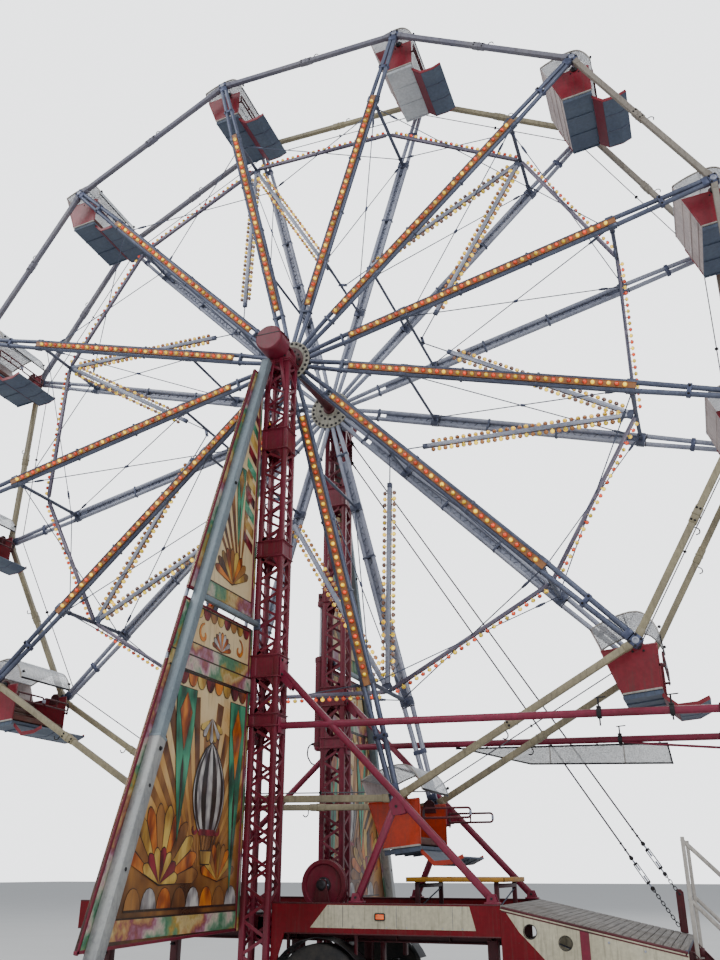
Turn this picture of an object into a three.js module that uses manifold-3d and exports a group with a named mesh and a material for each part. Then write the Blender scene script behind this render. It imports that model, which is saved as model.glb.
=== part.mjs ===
// Travelling observation wheel on a trailer: twelve open cars that hang level between two open rims.
import * as THREE from "three";
import { mergeVertices } from "three/addons/utils/BufferGeometryUtils.js";
import Module from "manifold-3d";

const wasm = await Module();
wasm.setup();

// Driving dimensions in millimetres; the ground is at zero and the hub stands over the origin
const hubHeight = 7830;
const bays = 12;
const firstAngle = 15.86;
const rimRadius = 5700;
const kneeRadius = 4430;
const innerRadius = 230;
const innerCross = 1650;
const innerBar = 40;
const kneeBar = 52;
const rod = 16;
const lampStart = 1000;
const lampLegEnd = 0.845;
const lampRing = 48;
const spokePlane = 725;
const spokeTube = 50;
const spokeSpread = 110;
const spokeTipSpread = 62;
const rimBar = 70;
const rimPlane = 705;
const pinRadius = 18;
const shaftRadius = 55;
const fit = 0.3;

const mastX = 20;
const mastY = 1000;
const mastHalfX = 133;
const mastHalfY = 105.5;
const chord = 58;
const lacing = 30;
const headBase = hubHeight - 190;

const legX = -95;
const legTube = 110;
const legTopY = 1200;
const legTopZ = 7600;
const legFootY = 3920;

const deckTop = 1220;
const copingTop = 1320;
const stageTop = 1550;
const deckLeft = -2100;
const deckRight = 2500;
const deckHalf = 1080;
const deckNotch = 830;
const notchRight = 190;
const axleX = 670;
const tyreRadius = 480;
const tyreSides = 24;

const boomStart = 3060;
const boomEnd = 2985;
const boomTip = 4850;
const boomTube = 90;
const braceTube = 76;

const rampEnd = 4100;
const rampEndTop = 990;

const carHalf = 520;
const carWall = 14;
const gateX = 236;
const gateLength = 490;
const gateTop = -80;
const gateBottom = -205;

// Colours
const red = 0x8c1822;
const carRed = 0xa2222c;
const steel = 0x9aa0a6;
const cream = 0xb5ab92;
const dark = 0x3d4048;
const white = 0xd8d4c6;

// Points and solids
const at = (x, y, z) => new THREE.Vector3(x, y, z);

function solid(geometry) {
  const bare = geometry.clone();
  bare.deleteAttribute("normal");
  bare.deleteAttribute("uv");
  const welded = mergeVertices(bare, 1e-3);
  const mesh = new wasm.Mesh({
    numProp: 3,
    vertProperties: new Float32Array(welded.attributes.position.array),
    triVerts: new Uint32Array(welded.index.array),
  });
  return new wasm.Manifold(mesh);
}

function fuse(pieces) {
  return pieces.reduce((whole, piece) => whole.add(piece));
}

function toGeometry(manifold) {
  const mesh = manifold.getMesh();
  const geometry = new THREE.BufferGeometry();
  const points = new Float32Array(mesh.numVert * 3);
  for (let i = 0; i < mesh.numVert; i += 1) {
    for (let k = 0; k < 3; k += 1) {
      points[3 * i + k] = mesh.vertProperties[mesh.numProp * i + k];
    }
  }
  geometry.setAttribute("position", new THREE.BufferAttribute(points, 3));
  geometry.setIndex(new THREE.BufferAttribute(new Uint32Array(mesh.triVerts), 1));
  geometry.computeVertexNormals();
  return geometry;
}

function tube(from, to, diameter, sides = 6, twist = 0) {
  const along = to.clone().sub(from);
  const shape = new THREE.CylinderGeometry(diameter / 2, diameter / 2, along.length(), sides);
  shape.rotateY(twist);
  const turn = new THREE.Quaternion().setFromUnitVectors(at(0, 1, 0), along.clone().normalize());
  shape.applyQuaternion(turn);
  const middle = from.clone().add(to).multiplyScalar(0.5);
  shape.translate(middle.x, middle.y, middle.z);
  return solid(shape);
}

function beam(from, to, width, depth, widthDirection) {
  const along = to.clone().sub(from);
  const length = along.length();
  along.normalize();
  const across = widthDirection.clone().projectOnPlane(along).normalize();
  const third = at(0, 0, 0).crossVectors(along, across);
  const shape = new THREE.BoxGeometry(width, depth, length);
  const middle = from.clone().add(to).multiplyScalar(0.5);
  shape.applyMatrix4(new THREE.Matrix4().makeBasis(across, third, along).setPosition(middle));
  return solid(shape);
}

function box(x0, x1, y0, y1, z0, z1) {
  const shape = new THREE.BoxGeometry(x1 - x0, y1 - y0, z1 - z0);
  shape.translate((x0 + x1) / 2, (y0 + y1) / 2, (z0 + z1) / 2);
  return solid(shape);
}

function plateXZ(points, y0, y1) {
  const outline = new THREE.Shape(points.map(([x, z]) => new THREE.Vector2(x, z)));
  const shape = new THREE.ExtrudeGeometry(outline, { depth: y1 - y0, bevelEnabled: false });
  shape.rotateX(Math.PI / 2);
  shape.translate(0, y1, 0);
  return solid(shape);
}

function plateYZ(points, x0, x1) {
  const outline = new THREE.Shape(points.map(([y, z]) => new THREE.Vector2(y, z)));
  const shape = new THREE.ExtrudeGeometry(outline, { depth: x1 - x0, bevelEnabled: false });
  shape.applyMatrix4(new THREE.Matrix4().makeBasis(at(0, 1, 0), at(0, 0, 1), at(1, 0, 0)));
  shape.translate(x0, 0, 0);
  return solid(shape);
}

// A bore whose flats face the corners of a round pin of the given radius
function bore(x, z, y0, y1, radius, sides = 12) {
  const half = Math.PI / sides;
  const opened = (radius + fit) / Math.cos(half);
  return tube(at(x, y0, z), at(x, y1, z), 2 * opened, sides, half);
}

// Positions on the wheel, seen from the near side: angles run clockwise from the top
const angleOf = (i) => THREE.MathUtils.degToRad(firstAngle + (360 / bays) * i);
const outward = (i) => at(Math.sin(angleOf(i)), 0, Math.cos(angleOf(i)));
const sideways = (i) => at(Math.cos(angleOf(i)), 0, -Math.sin(angleOf(i)));

function onWheel(i, radius, y, offset = 0) {
  const point = outward(i).multiplyScalar(radius);
  point.addScaledVector(sideways(i), offset);
  point.y = y;
  return point;
}

// Flat polygon ring whose corners lie on the spokes
function ring(radius, width, y0, y1) {
  const reach = width / 2 / Math.cos(Math.PI / bays);
  const corners = (r) => Array.from({ length: bays }, (_, i) => {
    const point = onWheel(i, r, 0);
    return new THREE.Vector2(point.x, point.z);
  });
  const outline = new THREE.Shape(corners(radius + reach));
  outline.holes.push(new THREE.Path(corners(radius - reach).reverse()));
  const shape = new THREE.ExtrudeGeometry(outline, { depth: y1 - y0, bevelEnabled: false });
  shape.rotateX(Math.PI / 2);
  shape.translate(0, y1, 0);
  return solid(shape);
}

// Flat bar of constant width that follows stations [radius, offset] along spoke i
function flatBar(i, stations, width, y0, y1) {
  const edge = (shift) => stations.map(([radius, offset]) => {
    const point = onWheel(i, radius, 0, offset + shift);
    return [point.x, point.z];
  });
  return plateXZ([...edge(-width / 2), ...edge(width / 2).reverse()], y0, y1);
}

// Hub: shaft, and a pair of bolt plates on each side that hold the spoke roots between them
function hubPiece() {
  const pieces = [tube(at(0, -1115, 0), at(0, 1115, 0), 2 * shaftRadius, 12)];
  for (const side of [-1, 1]) {
    for (const offset of [-1, 1]) {
      const face = spokePlane + offset * (spokeTube / 2 + fit);
      const back = face + offset * 14;
      pieces.push(tube(at(0, side * face, 0), at(0, side * back, 0), 520, 16));
    }
    pieces.push(tube(at(0, side * 600, 0), at(0, side * 690, 0), 240, 12));
  }
  return fuse(pieces);
}

// One side of spokes: twelve twin bars on a root ring, with a knuckle and a lamp board down to the knee
function spokesPiece(side) {
  const y0 = side * spokePlane - spokeTube / 2;
  const y1 = y0 + spokeTube;
  const outer = side < 0 ? [y0 - 14, y0 + 8] : [y1 - 8, y1 + 14];
  const rootRing = tube(at(0, y0, 0), at(0, y1, 0), 480, 12);
  const pieces = [rootRing];
  const tip = rimRadius - 60 - fit;
  for (let i = 0; i < bays; i += 1) {
    for (const hand of [-1, 1]) {
      const wide = (hand * spokeSpread) / 2;
      const line = [[innerRadius - 60, hand * 34], [760, wide], [kneeRadius, wide], [tip, (hand * spokeTipSpread) / 2]];
      pieces.push(flatBar(i, line, spokeTube - 8, y0, y1));
    }
    pieces.push(flatBar(i, [[kneeRadius - 70, 0], [kneeRadius + 70, 0]], 160, y0, y1));
    pieces.push(flatBar(i, [[lampStart, 0], [kneeRadius + 60, 0]], 120, ...outer));
  }
  return fuse(pieces).subtract(bore(0, 0, y0 - 60, y1 + 60, shaftRadius + 2, 12));
}

// One rim: twelve straight bars between eye blocks that carry the car pins
function rimPiece(side) {
  const y = side * rimPlane;
  let rim = ring(rimRadius, rimBar, y - rimBar / 2, y + rimBar / 2);
  for (let i = 0; i < bays; i += 1) {
    rim = rim.add(flatBar(i, [[rimRadius - 60, 0], [rimRadius + 55, 0]], 150, y - 46, y + 46));
    const eye = onWheel(i, rimRadius, 0);
    rim = rim.subtract(bore(eye.x, eye.z, y - 60, y + 60, pinRadius, 8));
  }
  return rim;
}

// Lamp star in the middle plane: twelve legs from the odd knees to the inner bars of the even spokes
function starPiece() {
  const half = 22;
  const legs = [];
  for (let i = 1; i < bays; i += 2) {
    for (const hand of [-1, 1]) {
      const head = onWheel(i, kneeRadius, 0);
      const foot = onWheel(i + hand, innerCross, 0);
      const lampEnd = head.clone().lerp(foot, lampLegEnd);
      legs.push(beam(head, lampEnd, 56, 2 * half, at(0, 1, 0).cross(foot.clone().sub(head))));
      legs.push(beam(head.clone().lerp(foot, lampLegEnd - 0.01), foot, 20, 20, at(0, 1, 0)));
    }
  }
  const lug = innerCross + innerBar / 2 + fit;
  for (let i = 0; i < bays; i += 2) {
    legs.push(flatBar(i, [[lug - 10, 0], [lug + 45, 0]], 150, -14, 14));
  }
  let star = fuse(legs).subtract(ring(kneeRadius, lampRing + 2 * fit, -60, 60));
  for (let i = 0; i < bays; i += 1) {
    const head = kneeRadius - kneeBar / 2 - fit;
    const room = i % 2 ? [[head, 0], [head + 140, 0]] : [[lug - 80, 0], [lug, 0]];
    star = star.subtract(flatBar(i, room, 200, -60, 60));
  }
  return star;
}

// Cross bracing: bars between the two sides at each knee and near the hub, crossed rods, and the lamp ring
function bracingPiece() {
  const reach = spokePlane - spokeTube / 2 - fit;
  const through = spokePlane + spokeTube / 2 - 8 - fit;
  const rodEnd = 650;
  const pieces = [ring(kneeRadius, lampRing, -22, 22)];
  for (let i = 0; i < bays; i += 1) {
    const half = kneeBar / 2;
    pieces.push(flatBar(i, [[kneeRadius - half, 0], [kneeRadius + half, 0]], kneeBar, -reach, reach));
    const inner = innerBar / 2;
    pieces.push(flatBar(i, [[innerCross - inner, 0], [innerCross + inner, 0]], innerBar, -through, through));
    for (const hand of [-1, 1]) {
      const thick = hand < 0 ? rod : rod - 4;
      pieces.push(beam(onWheel(i, innerCross, -hand * rodEnd), onWheel(i, kneeRadius, hand * rodEnd), rod, thick,
        sideways(i)));
      pieces.push(beam(onWheel(i, kneeRadius, -hand * 560), onWheel(i + 1, kneeRadius, hand * 560), rod, thick,
        outward(i + 0.5)));
    }
    const middle = (innerCross + kneeRadius) / 2;
    pieces.push(flatBar(i, [[middle - 30, 0], [middle + 30, 0]], 26, -20, 20));
  }
  return fuse(pieces);
}

// Drive cable laid round the far side, inside the rim bars
function cablePiece() {
  const y = spokePlane + spokeTube / 2 + fit;
  return ring(5520, 16, y, y + 16);
}

// Car: side panels, sloping back, seat, footboard and the curved hood, drawn about its hanging pin
const sideOutline = [
  [-205, -485], [190, -442], [190, 5], [233, 95], [190, 224], [112, 324], [28, 362],
  [-110, 350], [-290, 292], [-462, 208], [-370, -35],
];

function carPiece() {
  const inner = carHalf - carWall;
  const pieces = [];
  for (const side of [-1, 1]) {
    const y0 = side < 0 ? -carHalf : inner;
    pieces.push(plateXZ(sideOutline, y0, y0 + carWall));
    pieces.push(tube(at(0, side * (inner + 4), 0), at(0, side * 750, 0), 2 * pinRadius, 8));
    const hinge = side * (carHalf - 7);
    pieces.push(box(184, gateX + 14, hinge - 7, hinge + 7, gateBottom - 26 - fit, gateBottom - fit));
  }
  const skin = (points) => pieces.push(plateXZ(points, -inner - 1, inner + 1));
  skin([[-205, -485], [-191, -479], [-356, -33], [-448, 206], [-287, 279], [-108, 338], [24, 350], [104, 315],
    [180, 217], [221, 95], [233, 95], [190, 224], [112, 324], [28, 362], [-110, 350], [-290, 292], [-462, 208],
    [-370, -35]]);
  skin([[-205, -535], [190, -490], [190, -442], [180, -372], [-150, -404], [-220, -380], [-205, -485]]);
  const tray = [[176, -490], [318, -622], [500, -608], [622, -556], [630, -572], [504, -626], [312, -642],
    [190, -530]];
  pieces.push(plateXZ(tray, -450, 450));
  return fuse(pieces);
}

// Half gate of a car: two rails on a hinge post, drawn about its hinge line
function gatePiece(side) {
  const rectangle = (y0, y1, z0, z1) => [[y0, z0], [y1, z0], [y1, z1], [y0, z1]];
  const y = [-10, gateLength + 10].map((value) => -side * value).sort((a, b) => a - b);
  const frame = plateYZ(rectangle(y[0], y[1], gateBottom, gateTop), -10, 10);
  const window = plateYZ(rectangle(y[0] + 20, y[1] - 20, gateBottom + 20, gateTop - 20), -20, 20);
  return frame.subtract(window);
}

// Lattice mast with a bearing head, a drum on its outer face, box plates and a foot plate
function mastPiece(side) {
  const cy = side * mastY;
  const pieces = [];
  const corners = [[-1, -1], [1, -1], [1, 1], [-1, 1]];
  const corner = ([sx, sy], z) => at(mastX + sx * mastHalfX, cy + sy * mastHalfY, z);
  const halfX = mastHalfX + chord / 2;
  const halfY = mastHalfY + chord / 2;
  for (const c of corners) {
    pieces.push(beam(corner(c, 10), corner(c, headBase + 10), chord, chord, at(1, 0, 0)));
  }
  const bands = [[20, 220], [3040, 3180], [3570, 3820], [4970, 5170], [6360, 6650], [headBase - 40, headBase]];
  for (const [low, high] of bands) {
    pieces.push(box(mastX - halfX, mastX + halfX, cy - halfY, cy + halfY, low, high));
  }
  const gaps = [[220, 3040, 3], [3180, 3570, 1], [3820, 4970, 1], [5170, 6360, 1], [6650, headBase - 40, 1]];
  for (const [low, high, count] of gaps) {
    for (let k = 0; k < count; k += 1) {
      const z0 = low + ((high - low) * k) / count;
      const z1 = low + ((high - low) * (k + 1)) / count;
      for (let f = 0; f < 4; f += 1) {
        const [a, b] = (k + f) % 2 ? [f, (f + 1) % 4] : [(f + 1) % 4, f];
        pieces.push(beam(corner(corners[a], z0), corner(corners[b], z1), lacing, lacing, at(0, 0, 1)));
      }
    }
  }
  pieces.push(box(mastX - 200, mastX + 200, cy - 175, cy + 175, 0, 20));
  pieces.push(box(mastX - 150, mastX + 130, cy - halfY, cy + halfY, headBase, hubHeight + 130));
  const outer = cy + side * (halfY - 5);
  pieces.push(tube(at(0, outer, hubHeight), at(0, cy + side * 400, hubHeight), 310, 16));
  const mast = fuse(pieces);
  return mast.subtract(bore(0, hubHeight, side * 800, side * 1122, shaftRadius, 16));
}

// Side leg from the mast head to the ground, with its lower sleeve and foot pad
function legPiece(side) {
  const top = at(legX, side * legTopY, legTopZ);
  const foot = at(legX, side * legFootY, 60);
  const point = (z) => top.clone().lerp(foot, (legTopZ - z) / (legTopZ - 60));
  const face = mastY + mastHalfY + chord / 2 + fit;
  const lug = side < 0 ? [-legTopY, -face] : [face, legTopY];
  const strut = side < 0 ? [point(4170).y, -face] : [face, point(4170).y];
  const leg = fuse([
    beam(foot, top, legTube, legTube, at(1, 0, 0)),
    beam(point(2560), point(2760), legTube + 22, legTube + 22, at(1, 0, 0)),
    box(legX - 28, legX + 28, strut[0], strut[1], 4142, 4198),
    box(legX - 32, legX + 32, lug[0], lug[1], legTopZ - 130, legTopZ + 10),
    box(legX - 150, legX + 150, side * legFootY - 150, side * legFootY + 150, 0, 20),
    box(legX - 40, legX + 40, side * legFootY - 60, side * legFootY + 60, 15, 110),
  ]);
  return leg.subtract(box(legX - 200, legX - legTube / 2, -4000, 4000, 1000, 7400));
}

// Three stacked boards outside each mast on two back rails; they lie against the side leg
function boardsPiece(side) {
  const front = legX - legTube / 2 - fit;
  const back = front - 32;
  const boards = [
    [[1400, 7390], [1200, 7390], [1165, 4220], [2562, 4220]],
    [[1165, 4120], [2598, 4120], [2810, 3520], [1165, 3520]],
    [[1165, 3450], [2834, 3450], [3720, 1030], [1165, 1060]],
  ];
  const pieces = boards.map((points) => {
    const set = points.map(([y, z]) => [side * y, z]);
    return plateYZ(set, back, front);
  });
  const rail = at(1, 0, 0);
  pieces.push(beam(at(back - 14, side * 1195, 1090), at(back - 14, side * 1225, 7360), 36, 36, rail));
  pieces.push(beam(at(back - 14, side * 3650, 1070), at(back - 14, side * 1376, 7300), 36, 36, rail));
  return fuse(pieces);
}

// Trailer frame: deck, side copings with wheel arches, main beams, mast clamps, jacks and the drive stand
function chassisPiece() {
  const pieces = [];
  const clampHalf = mastY - mastHalfY - chord / 2 - fit;
  pieces.push(box(deckLeft, deckRight, -deckNotch, deckNotch, deckTop - 40, deckTop));
  for (const side of [-1, 1]) {
    const [a, b] = side < 0 ? [-deckHalf, -deckNotch + 5] : [deckNotch - 5, deckHalf];
    pieces.push(box(notchRight, deckRight, a, b, deckTop - 40, deckTop));
    pieces.push(box(deckLeft, -190, a, b, deckTop - 40, deckTop));
    const y0 = side < 0 ? -deckHalf : deckHalf - 24;
    const skirt = [[notchRight, copingTop], [notchRight, 760], [240, 760], [330, 1050], [deckRight, 1050],
      [deckRight, copingTop]];
    pieces.push(plateXZ(skirt.reverse(), y0, y0 + 24));
    pieces.push(box(deckLeft, -240, y0, y0 + 24, 1050, copingTop));
    const beamY = side * 450;
    pieces.push(box(deckLeft, deckRight, beamY - 50, beamY + 50, 950, deckTop - 35));
    for (const x of [deckLeft + 160, deckRight - 160]) {
      const jackY = side * 700;
      pieces.push(box(x - 50, x + 50, jackY - 50, jackY + 50, 10, deckTop - 35));
      pieces.push(box(x - 150, x + 150, jackY - 150, jackY + 150, 0, 20));
    }
  }
  for (const x of [deckLeft + 160, deckRight - 160]) {
    pieces.push(box(x - 60, x + 60, -760, 760, 1000, deckTop - 35));
  }
  pieces.push(box(mastX - 90, mastX + 90, -clampHalf, clampHalf, 980, deckTop - 35));
  pieces.push(box(-50, 50, -50, 50, 10, 1000));
  pieces.push(box(-150, 150, -150, 150, 0, 20));
  const mastFace = mastX - mastHalfX - chord / 2 - fit;
  for (const side of [-1, 1]) {
    const y = side * mastY;
    const brace = tube(at(-40, y, 3027), at(-1990, y, 1240), braceTube, 6);
    pieces.push(brace.subtract(box(mastFace, 200, y - 100, y + 100, 2500, 3300)));
  }
  for (const y of [-598, -742]) {
    pieces.push(plateXZ([[470, deckTop - 10], [700, deckTop - 10], [625, 1530], [545, 1530]], y - 8, y + 8));
  }
  const frame = fuse(pieces);
  return frame.subtract(bore(585, 1476, -800, -560, 22)).subtract(box(320, 850, -715, -615, 1150, 1300));
}

// Road wheels on one axle under its two spring hangers
function roadWheelsPiece() {
  const pieces = [tube(at(axleX, -1010, tyreRadius), at(axleX, 1010, tyreRadius), 90, 10)];
  for (const side of [-1, 1]) {
    const tyre = new THREE.CylinderGeometry(tyreRadius, tyreRadius, 220, tyreSides);
    tyre.rotateY(Math.PI / tyreSides);
    tyre.translate(axleX, side * 915, tyreRadius * Math.cos(Math.PI / tyreSides));
    pieces.push(solid(tyre).subtract(tube(at(axleX, side * 985, tyreRadius), at(axleX, side * 1040, tyreRadius), 520, 12)));
    pieces.push(tube(at(axleX, side * 940, tyreRadius), at(axleX, side * 1018, tyreRadius), 200, 10));
    pieces.push(box(axleX - 45, axleX + 45, side * 450 - 40, side * 450 + 40, tyreRadius, 950 - fit));
  }
  return fuse(pieces);
}

// Sloping gangway with side skirts, portholes, front legs and the steps down to the ground
function gangwayPiece() {
  const start = deckRight + fit;
  const pieces = [];
  pieces.push(plateXZ([[start, copingTop - 60], [rampEnd, rampEndTop - 60], [rampEnd, rampEndTop],
    [start, copingTop]], -deckHalf, deckHalf));
  const skirt = [[start, 790], [rampEnd, 790], [rampEnd, rampEndTop - 30], [start, copingTop - 30]];
  for (const side of [-1, 1]) {
    const y0 = side < 0 ? -deckHalf : deckHalf - 24;
    let plate = plateXZ(skirt, y0, y0 + 24);
    for (const [x, z] of [[2765, 1105], [3075, 1020]]) {
      plate = plate.subtract(tube(at(x, y0 - 30, z), at(x, y0 + 60, z), 116, 10));
    }
    pieces.push(plate);
    for (const x of [start + 60, rampEnd - 80]) {
      const y = side * (deckHalf - 70);
      pieces.push(box(x - 40, x + 40, y - 50, y + 50, 10, 1000));
      pieces.push(box(x - 120, x + 120, y - 110, y + 110, 0, 20));
    }
    const stringerY = side * 640;
    pieces.push(plateXZ([[rampEnd - 50, 770], [4830, 0], [5010, 0], [rampEnd + 20, 950], [rampEnd - 50, 960]],
      stringerY - 20, stringerY + 20));
    const railY = side * 640;
    const rail = [railY - 18, railY + 18];
    pieces.push(box(4140, 4176, ...rail, 800, 1900));
    pieces.push(box(4840, 4876, ...rail, 60, 1150));
    for (const [z0, z1] of [[1900, 1150], [1400, 650]]) {
      pieces.push(plateXZ([[4140, z0 - 40], [4876, z1 - 40], [4876, z1], [4140, z0]], ...rail));
    }
  }
  for (let k = 0; k < 3; k += 1) {
    const x = rampEnd + 60 + 225 * k;
    const z = rampEndTop - 247 * (k + 1);
    pieces.push(box(x, x + 260, -645, 645, z - 36, z));
  }
  return fuse(pieces);
}

// Front frame on each side: level boom, sloping brace to the deck, strut, rear brace and the end post
function frontFramePiece(side) {
  const y = side * mastY;
  const start = mastX + mastHalfX + chord / 2 + fit;
  const boomAt = (x) => boomStart + ((boomEnd - boomStart) * x) / boomTip;
  const foot = at(2440, y, copingTop + 22);
  const knee = at(1507, y, 2264);
  const pieces = [
    tube(at(start, y, boomAt(start)), at(boomTip, y, boomEnd), boomTube, 8),
    tube(at(start, y, 3650), foot, braceTube, 6),
    tube(at(1070, y, copingTop + 22), knee, braceTube, 6),
    tube(at(4700, y, 40), at(4700, y, boomAt(4700)), 80, 6),
    box(4700 - 120, 4700 + 120, y - 120, y + 120, 0, 20),
    box(4700 - 46, 4700 + 46, y - 46, y + 46, 10, 130),
    box(start, start + 22, y - 100, y + 100, 3570, 3790),
    box(2350, 2490, y - 60, y + 60, copingTop + fit, copingTop + 20),
    box(1000, 1140, y - 60, y + 60, copingTop + fit, copingTop + 20),
  ];
  const low = copingTop + fit;
  const keep = box(start, 6000, y - 300, y + 300, 0, 5000);
  const under = box(900, 2600, y - 300, y + 300, 0, low);
  return fuse(pieces).intersect(keep).subtract(under);
}

// Loading stage: a low board on a trestle over the deck
function stagePiece() {
  const pieces = [box(1420, 2440, -520, 520, stageTop - 44, stageTop)];
  for (const x of [1520, 2340]) {
    for (const y of [-440, 440]) {
      pieces.push(box(x - 25, x + 25, y - 25, y + 25, deckTop + fit, stageTop - 30));
    }
    pieces.push(box(x - 25, x + 25, -440, 440, stageTop - 100, stageTop - 40));
  }
  return fuse(pieces);
}

// Drive wheel on its short shaft
function driveWheelPiece() {
  return fuse([
    tube(at(0, -42, 0), at(0, 42, 0), 490, 20).subtract(tube(at(0, -60, 0), at(0, -30, 0), 400, 16)),
    tube(at(0, -50, 0), at(0, 50, 0), 150, 12),
    tube(at(0, -95, 0), at(0, 95, 0), 44, 10),
  ]);
}

// Two back stays from the far mast to one anchor post on the gangway
function backstaysPiece() {
  const y = mastY + 62;
  const face = mastX + mastHalfX + chord / 2 + fit;
  const slope = (copingTop - rampEndTop) / (rampEnd - deckRight);
  const ground = copingTop - slope * (3960 - deckRight - fit) + fit;
  return fuse([
    box(face, face + 30, y - 11, y + 11, 7060, 7460),
    tube(at(face + 20, y, 7420), at(4000, y, 1376), 16),
    tube(at(face + 20, y, 7100), at(3960, y, 1060), 16),
    box(3960, 4040, y - 11, y + 11, ground, 1430),
  ]);
}

// Framed screen that hangs under the far boom
function screenPiece() {
  const top = 2975;
  return plateXZ([[2515, 2760], [4120, 2712], [4090, top - 25.2], [1610, top + 14.8]].reverse(), mastY - 12, mastY + 12);
}

// Scene graph
const group = new THREE.Group();
group.name = "travelling_observation_wheel";

function finish(color, roughness, metalness) {
  return new THREE.MeshStandardMaterial({ color, roughness, metalness });
}

function place(name, geometry, material, position, turn = 0) {
  const mesh = new THREE.Mesh(geometry, material);
  mesh.name = name;
  mesh.position.copy(position);
  mesh.rotation.z = turn;
  group.add(mesh);
}

const hubCentre = at(0, 0, hubHeight);
const origin = at(0, 0, 0);

place("hub", toGeometry(hubPiece()), finish(steel, 0.5, 0.6), hubCentre);
place("light_star", toGeometry(starPiece()), finish(dark, 0.5, 0.5), hubCentre);
place("cross_bracing", toGeometry(bracingPiece()), finish(steel, 0.5, 0.7), hubCentre);
place("drive_cable", toGeometry(cablePiece()), finish(dark, 0.6, 0.7), hubCentre);

for (const [name, side] of [["near", -1], ["far", 1]]) {
  place(`${name}_spokes`, toGeometry(spokesPiece(side)), finish(steel, 0.5, 0.6), hubCentre);
  place(`${name}_rim`, toGeometry(rimPiece(side)), finish(cream, 0.6, 0.2), hubCentre);
  place(`${name}_mast`, toGeometry(mastPiece(side)), finish(red, 0.5, 0.2), origin);
  place(`${name}_side_leg`, toGeometry(legPiece(side)), finish(steel, 0.5, 0.6), origin);
  place(`${name}_side_boards`, toGeometry(boardsPiece(side)), finish(cream, 0.6, 0), origin);
  place(`${name}_front_frame`, toGeometry(frontFramePiece(side)), finish(red, 0.5, 0.2), origin);
}

const carGeometry = toGeometry(carPiece());
const nearGate = toGeometry(gatePiece(-1));
const farGate = toGeometry(gatePiece(1));
const openCar = 5;
const quarter = Math.PI / 2;
for (let i = 0; i < bays; i += 1) {
  const pin = onWheel(i, rimRadius, 0).add(hubCentre);
  const open = i === openCar;
  place(`car_${i + 1}`, carGeometry, finish(carRed, 0.45, 0.1), pin);
  const hingeY = carHalf - 7;
  place(`car_${i + 1}_near_gate`, nearGate, finish(red, 0.4, 0.2), at(pin.x + gateX, -hingeY, pin.z),
    open ? -quarter : 0);
  place(`car_${i + 1}_far_gate`, farGate, finish(red, 0.4, 0.2), at(pin.x + gateX, hingeY, pin.z),
    open ? quarter : 0);
}

place("trailer_frame", toGeometry(chassisPiece()), finish(red, 0.5, 0.2), origin);
place("road_wheels", toGeometry(roadWheelsPiece()), finish(dark, 0.9, 0), origin);
place("gangway", toGeometry(gangwayPiece()), finish(white, 0.6, 0.1), origin);
place("loading_stage", toGeometry(stagePiece()), finish(cream, 0.7, 0), origin);
place("drive_wheel", toGeometry(driveWheelPiece()), finish(red, 0.5, 0.2), at(585, -665, 1476));
place("back_stays", toGeometry(backstaysPiece()), finish(steel, 0.5, 0.7), origin);
place("boom_screen", toGeometry(screenPiece()), finish(white, 0.5, 0), origin);

export default group;
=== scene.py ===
"""Travelling ferris wheel on a trailer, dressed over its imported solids. Metres, +Z up."""
from math import copysign, cos, hypot, pi, radians, sin

import bmesh
import bpy
from mathutils import Matrix, Vector


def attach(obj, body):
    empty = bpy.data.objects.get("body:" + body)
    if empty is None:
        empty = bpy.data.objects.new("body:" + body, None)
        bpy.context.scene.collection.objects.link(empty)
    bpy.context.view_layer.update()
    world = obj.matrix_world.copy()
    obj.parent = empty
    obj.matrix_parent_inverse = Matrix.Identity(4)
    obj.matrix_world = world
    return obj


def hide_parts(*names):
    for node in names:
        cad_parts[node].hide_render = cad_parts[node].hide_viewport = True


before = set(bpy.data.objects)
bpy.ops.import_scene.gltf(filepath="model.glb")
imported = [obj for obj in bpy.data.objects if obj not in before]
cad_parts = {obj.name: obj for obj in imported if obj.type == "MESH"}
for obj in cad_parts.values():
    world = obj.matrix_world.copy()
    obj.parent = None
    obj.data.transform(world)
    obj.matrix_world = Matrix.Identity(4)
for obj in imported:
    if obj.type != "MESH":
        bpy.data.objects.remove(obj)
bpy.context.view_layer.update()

BAYS = 12
FIRST = radians(15.86)
HUB = 7.83
RIM = 5.7
KNEE = 4.43
INNER = 1.65
SPOKE_PLANE = 0.725
RIM_PLANE = 0.705
MAST_X = 0.02
MAST_Y = 1.0
HEAD_BASE = 7.64
DECK_TOP = 1.22
COPING_TOP = 1.32
DECK_LEFT = -2.1
DECK_RIGHT = 2.5
NOTCH_RIGHT = 0.19
DECK_HALF = 1.08
RAMP_END = 4.1
RAMP_END_TOP = 0.99
SIDES = (("near", -1), ("far", 1))
AHEAD, ACROSS, UP = (1, 0, 0), (0, 1, 0), (0, 0, 1)


# Colour and shader helpers

def tone(code):
    """Linear colour of a hex code."""
    parts = [int(code[k:k + 2], 16) / 255 for k in (0, 2, 4)]
    return tuple(c / 12.92 if c <= 0.04045 else ((c + 0.055) / 1.055) ** 2.4 for c in parts) + (1.0,)


def feed(socket, value):
    """Links a socket to another one, or sets its value."""
    if isinstance(value, bpy.types.NodeSocket):
        socket.id_data.links.new(value, socket)
    else:
        socket.default_value = value


def node(kind, inputs, **settings):
    """Adds a shader node beside its inputs' own nodes, sets its properties, and sets or links its inputs."""
    tree = next(value.id_data for value in inputs.values() if isinstance(value, bpy.types.NodeSocket))
    made = tree.nodes.new("ShaderNode" + kind)
    for key, value in settings.items():
        setattr(made, key, value)
    for key, value in inputs.items():
        feed(made.inputs[key], value)
    return made


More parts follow.
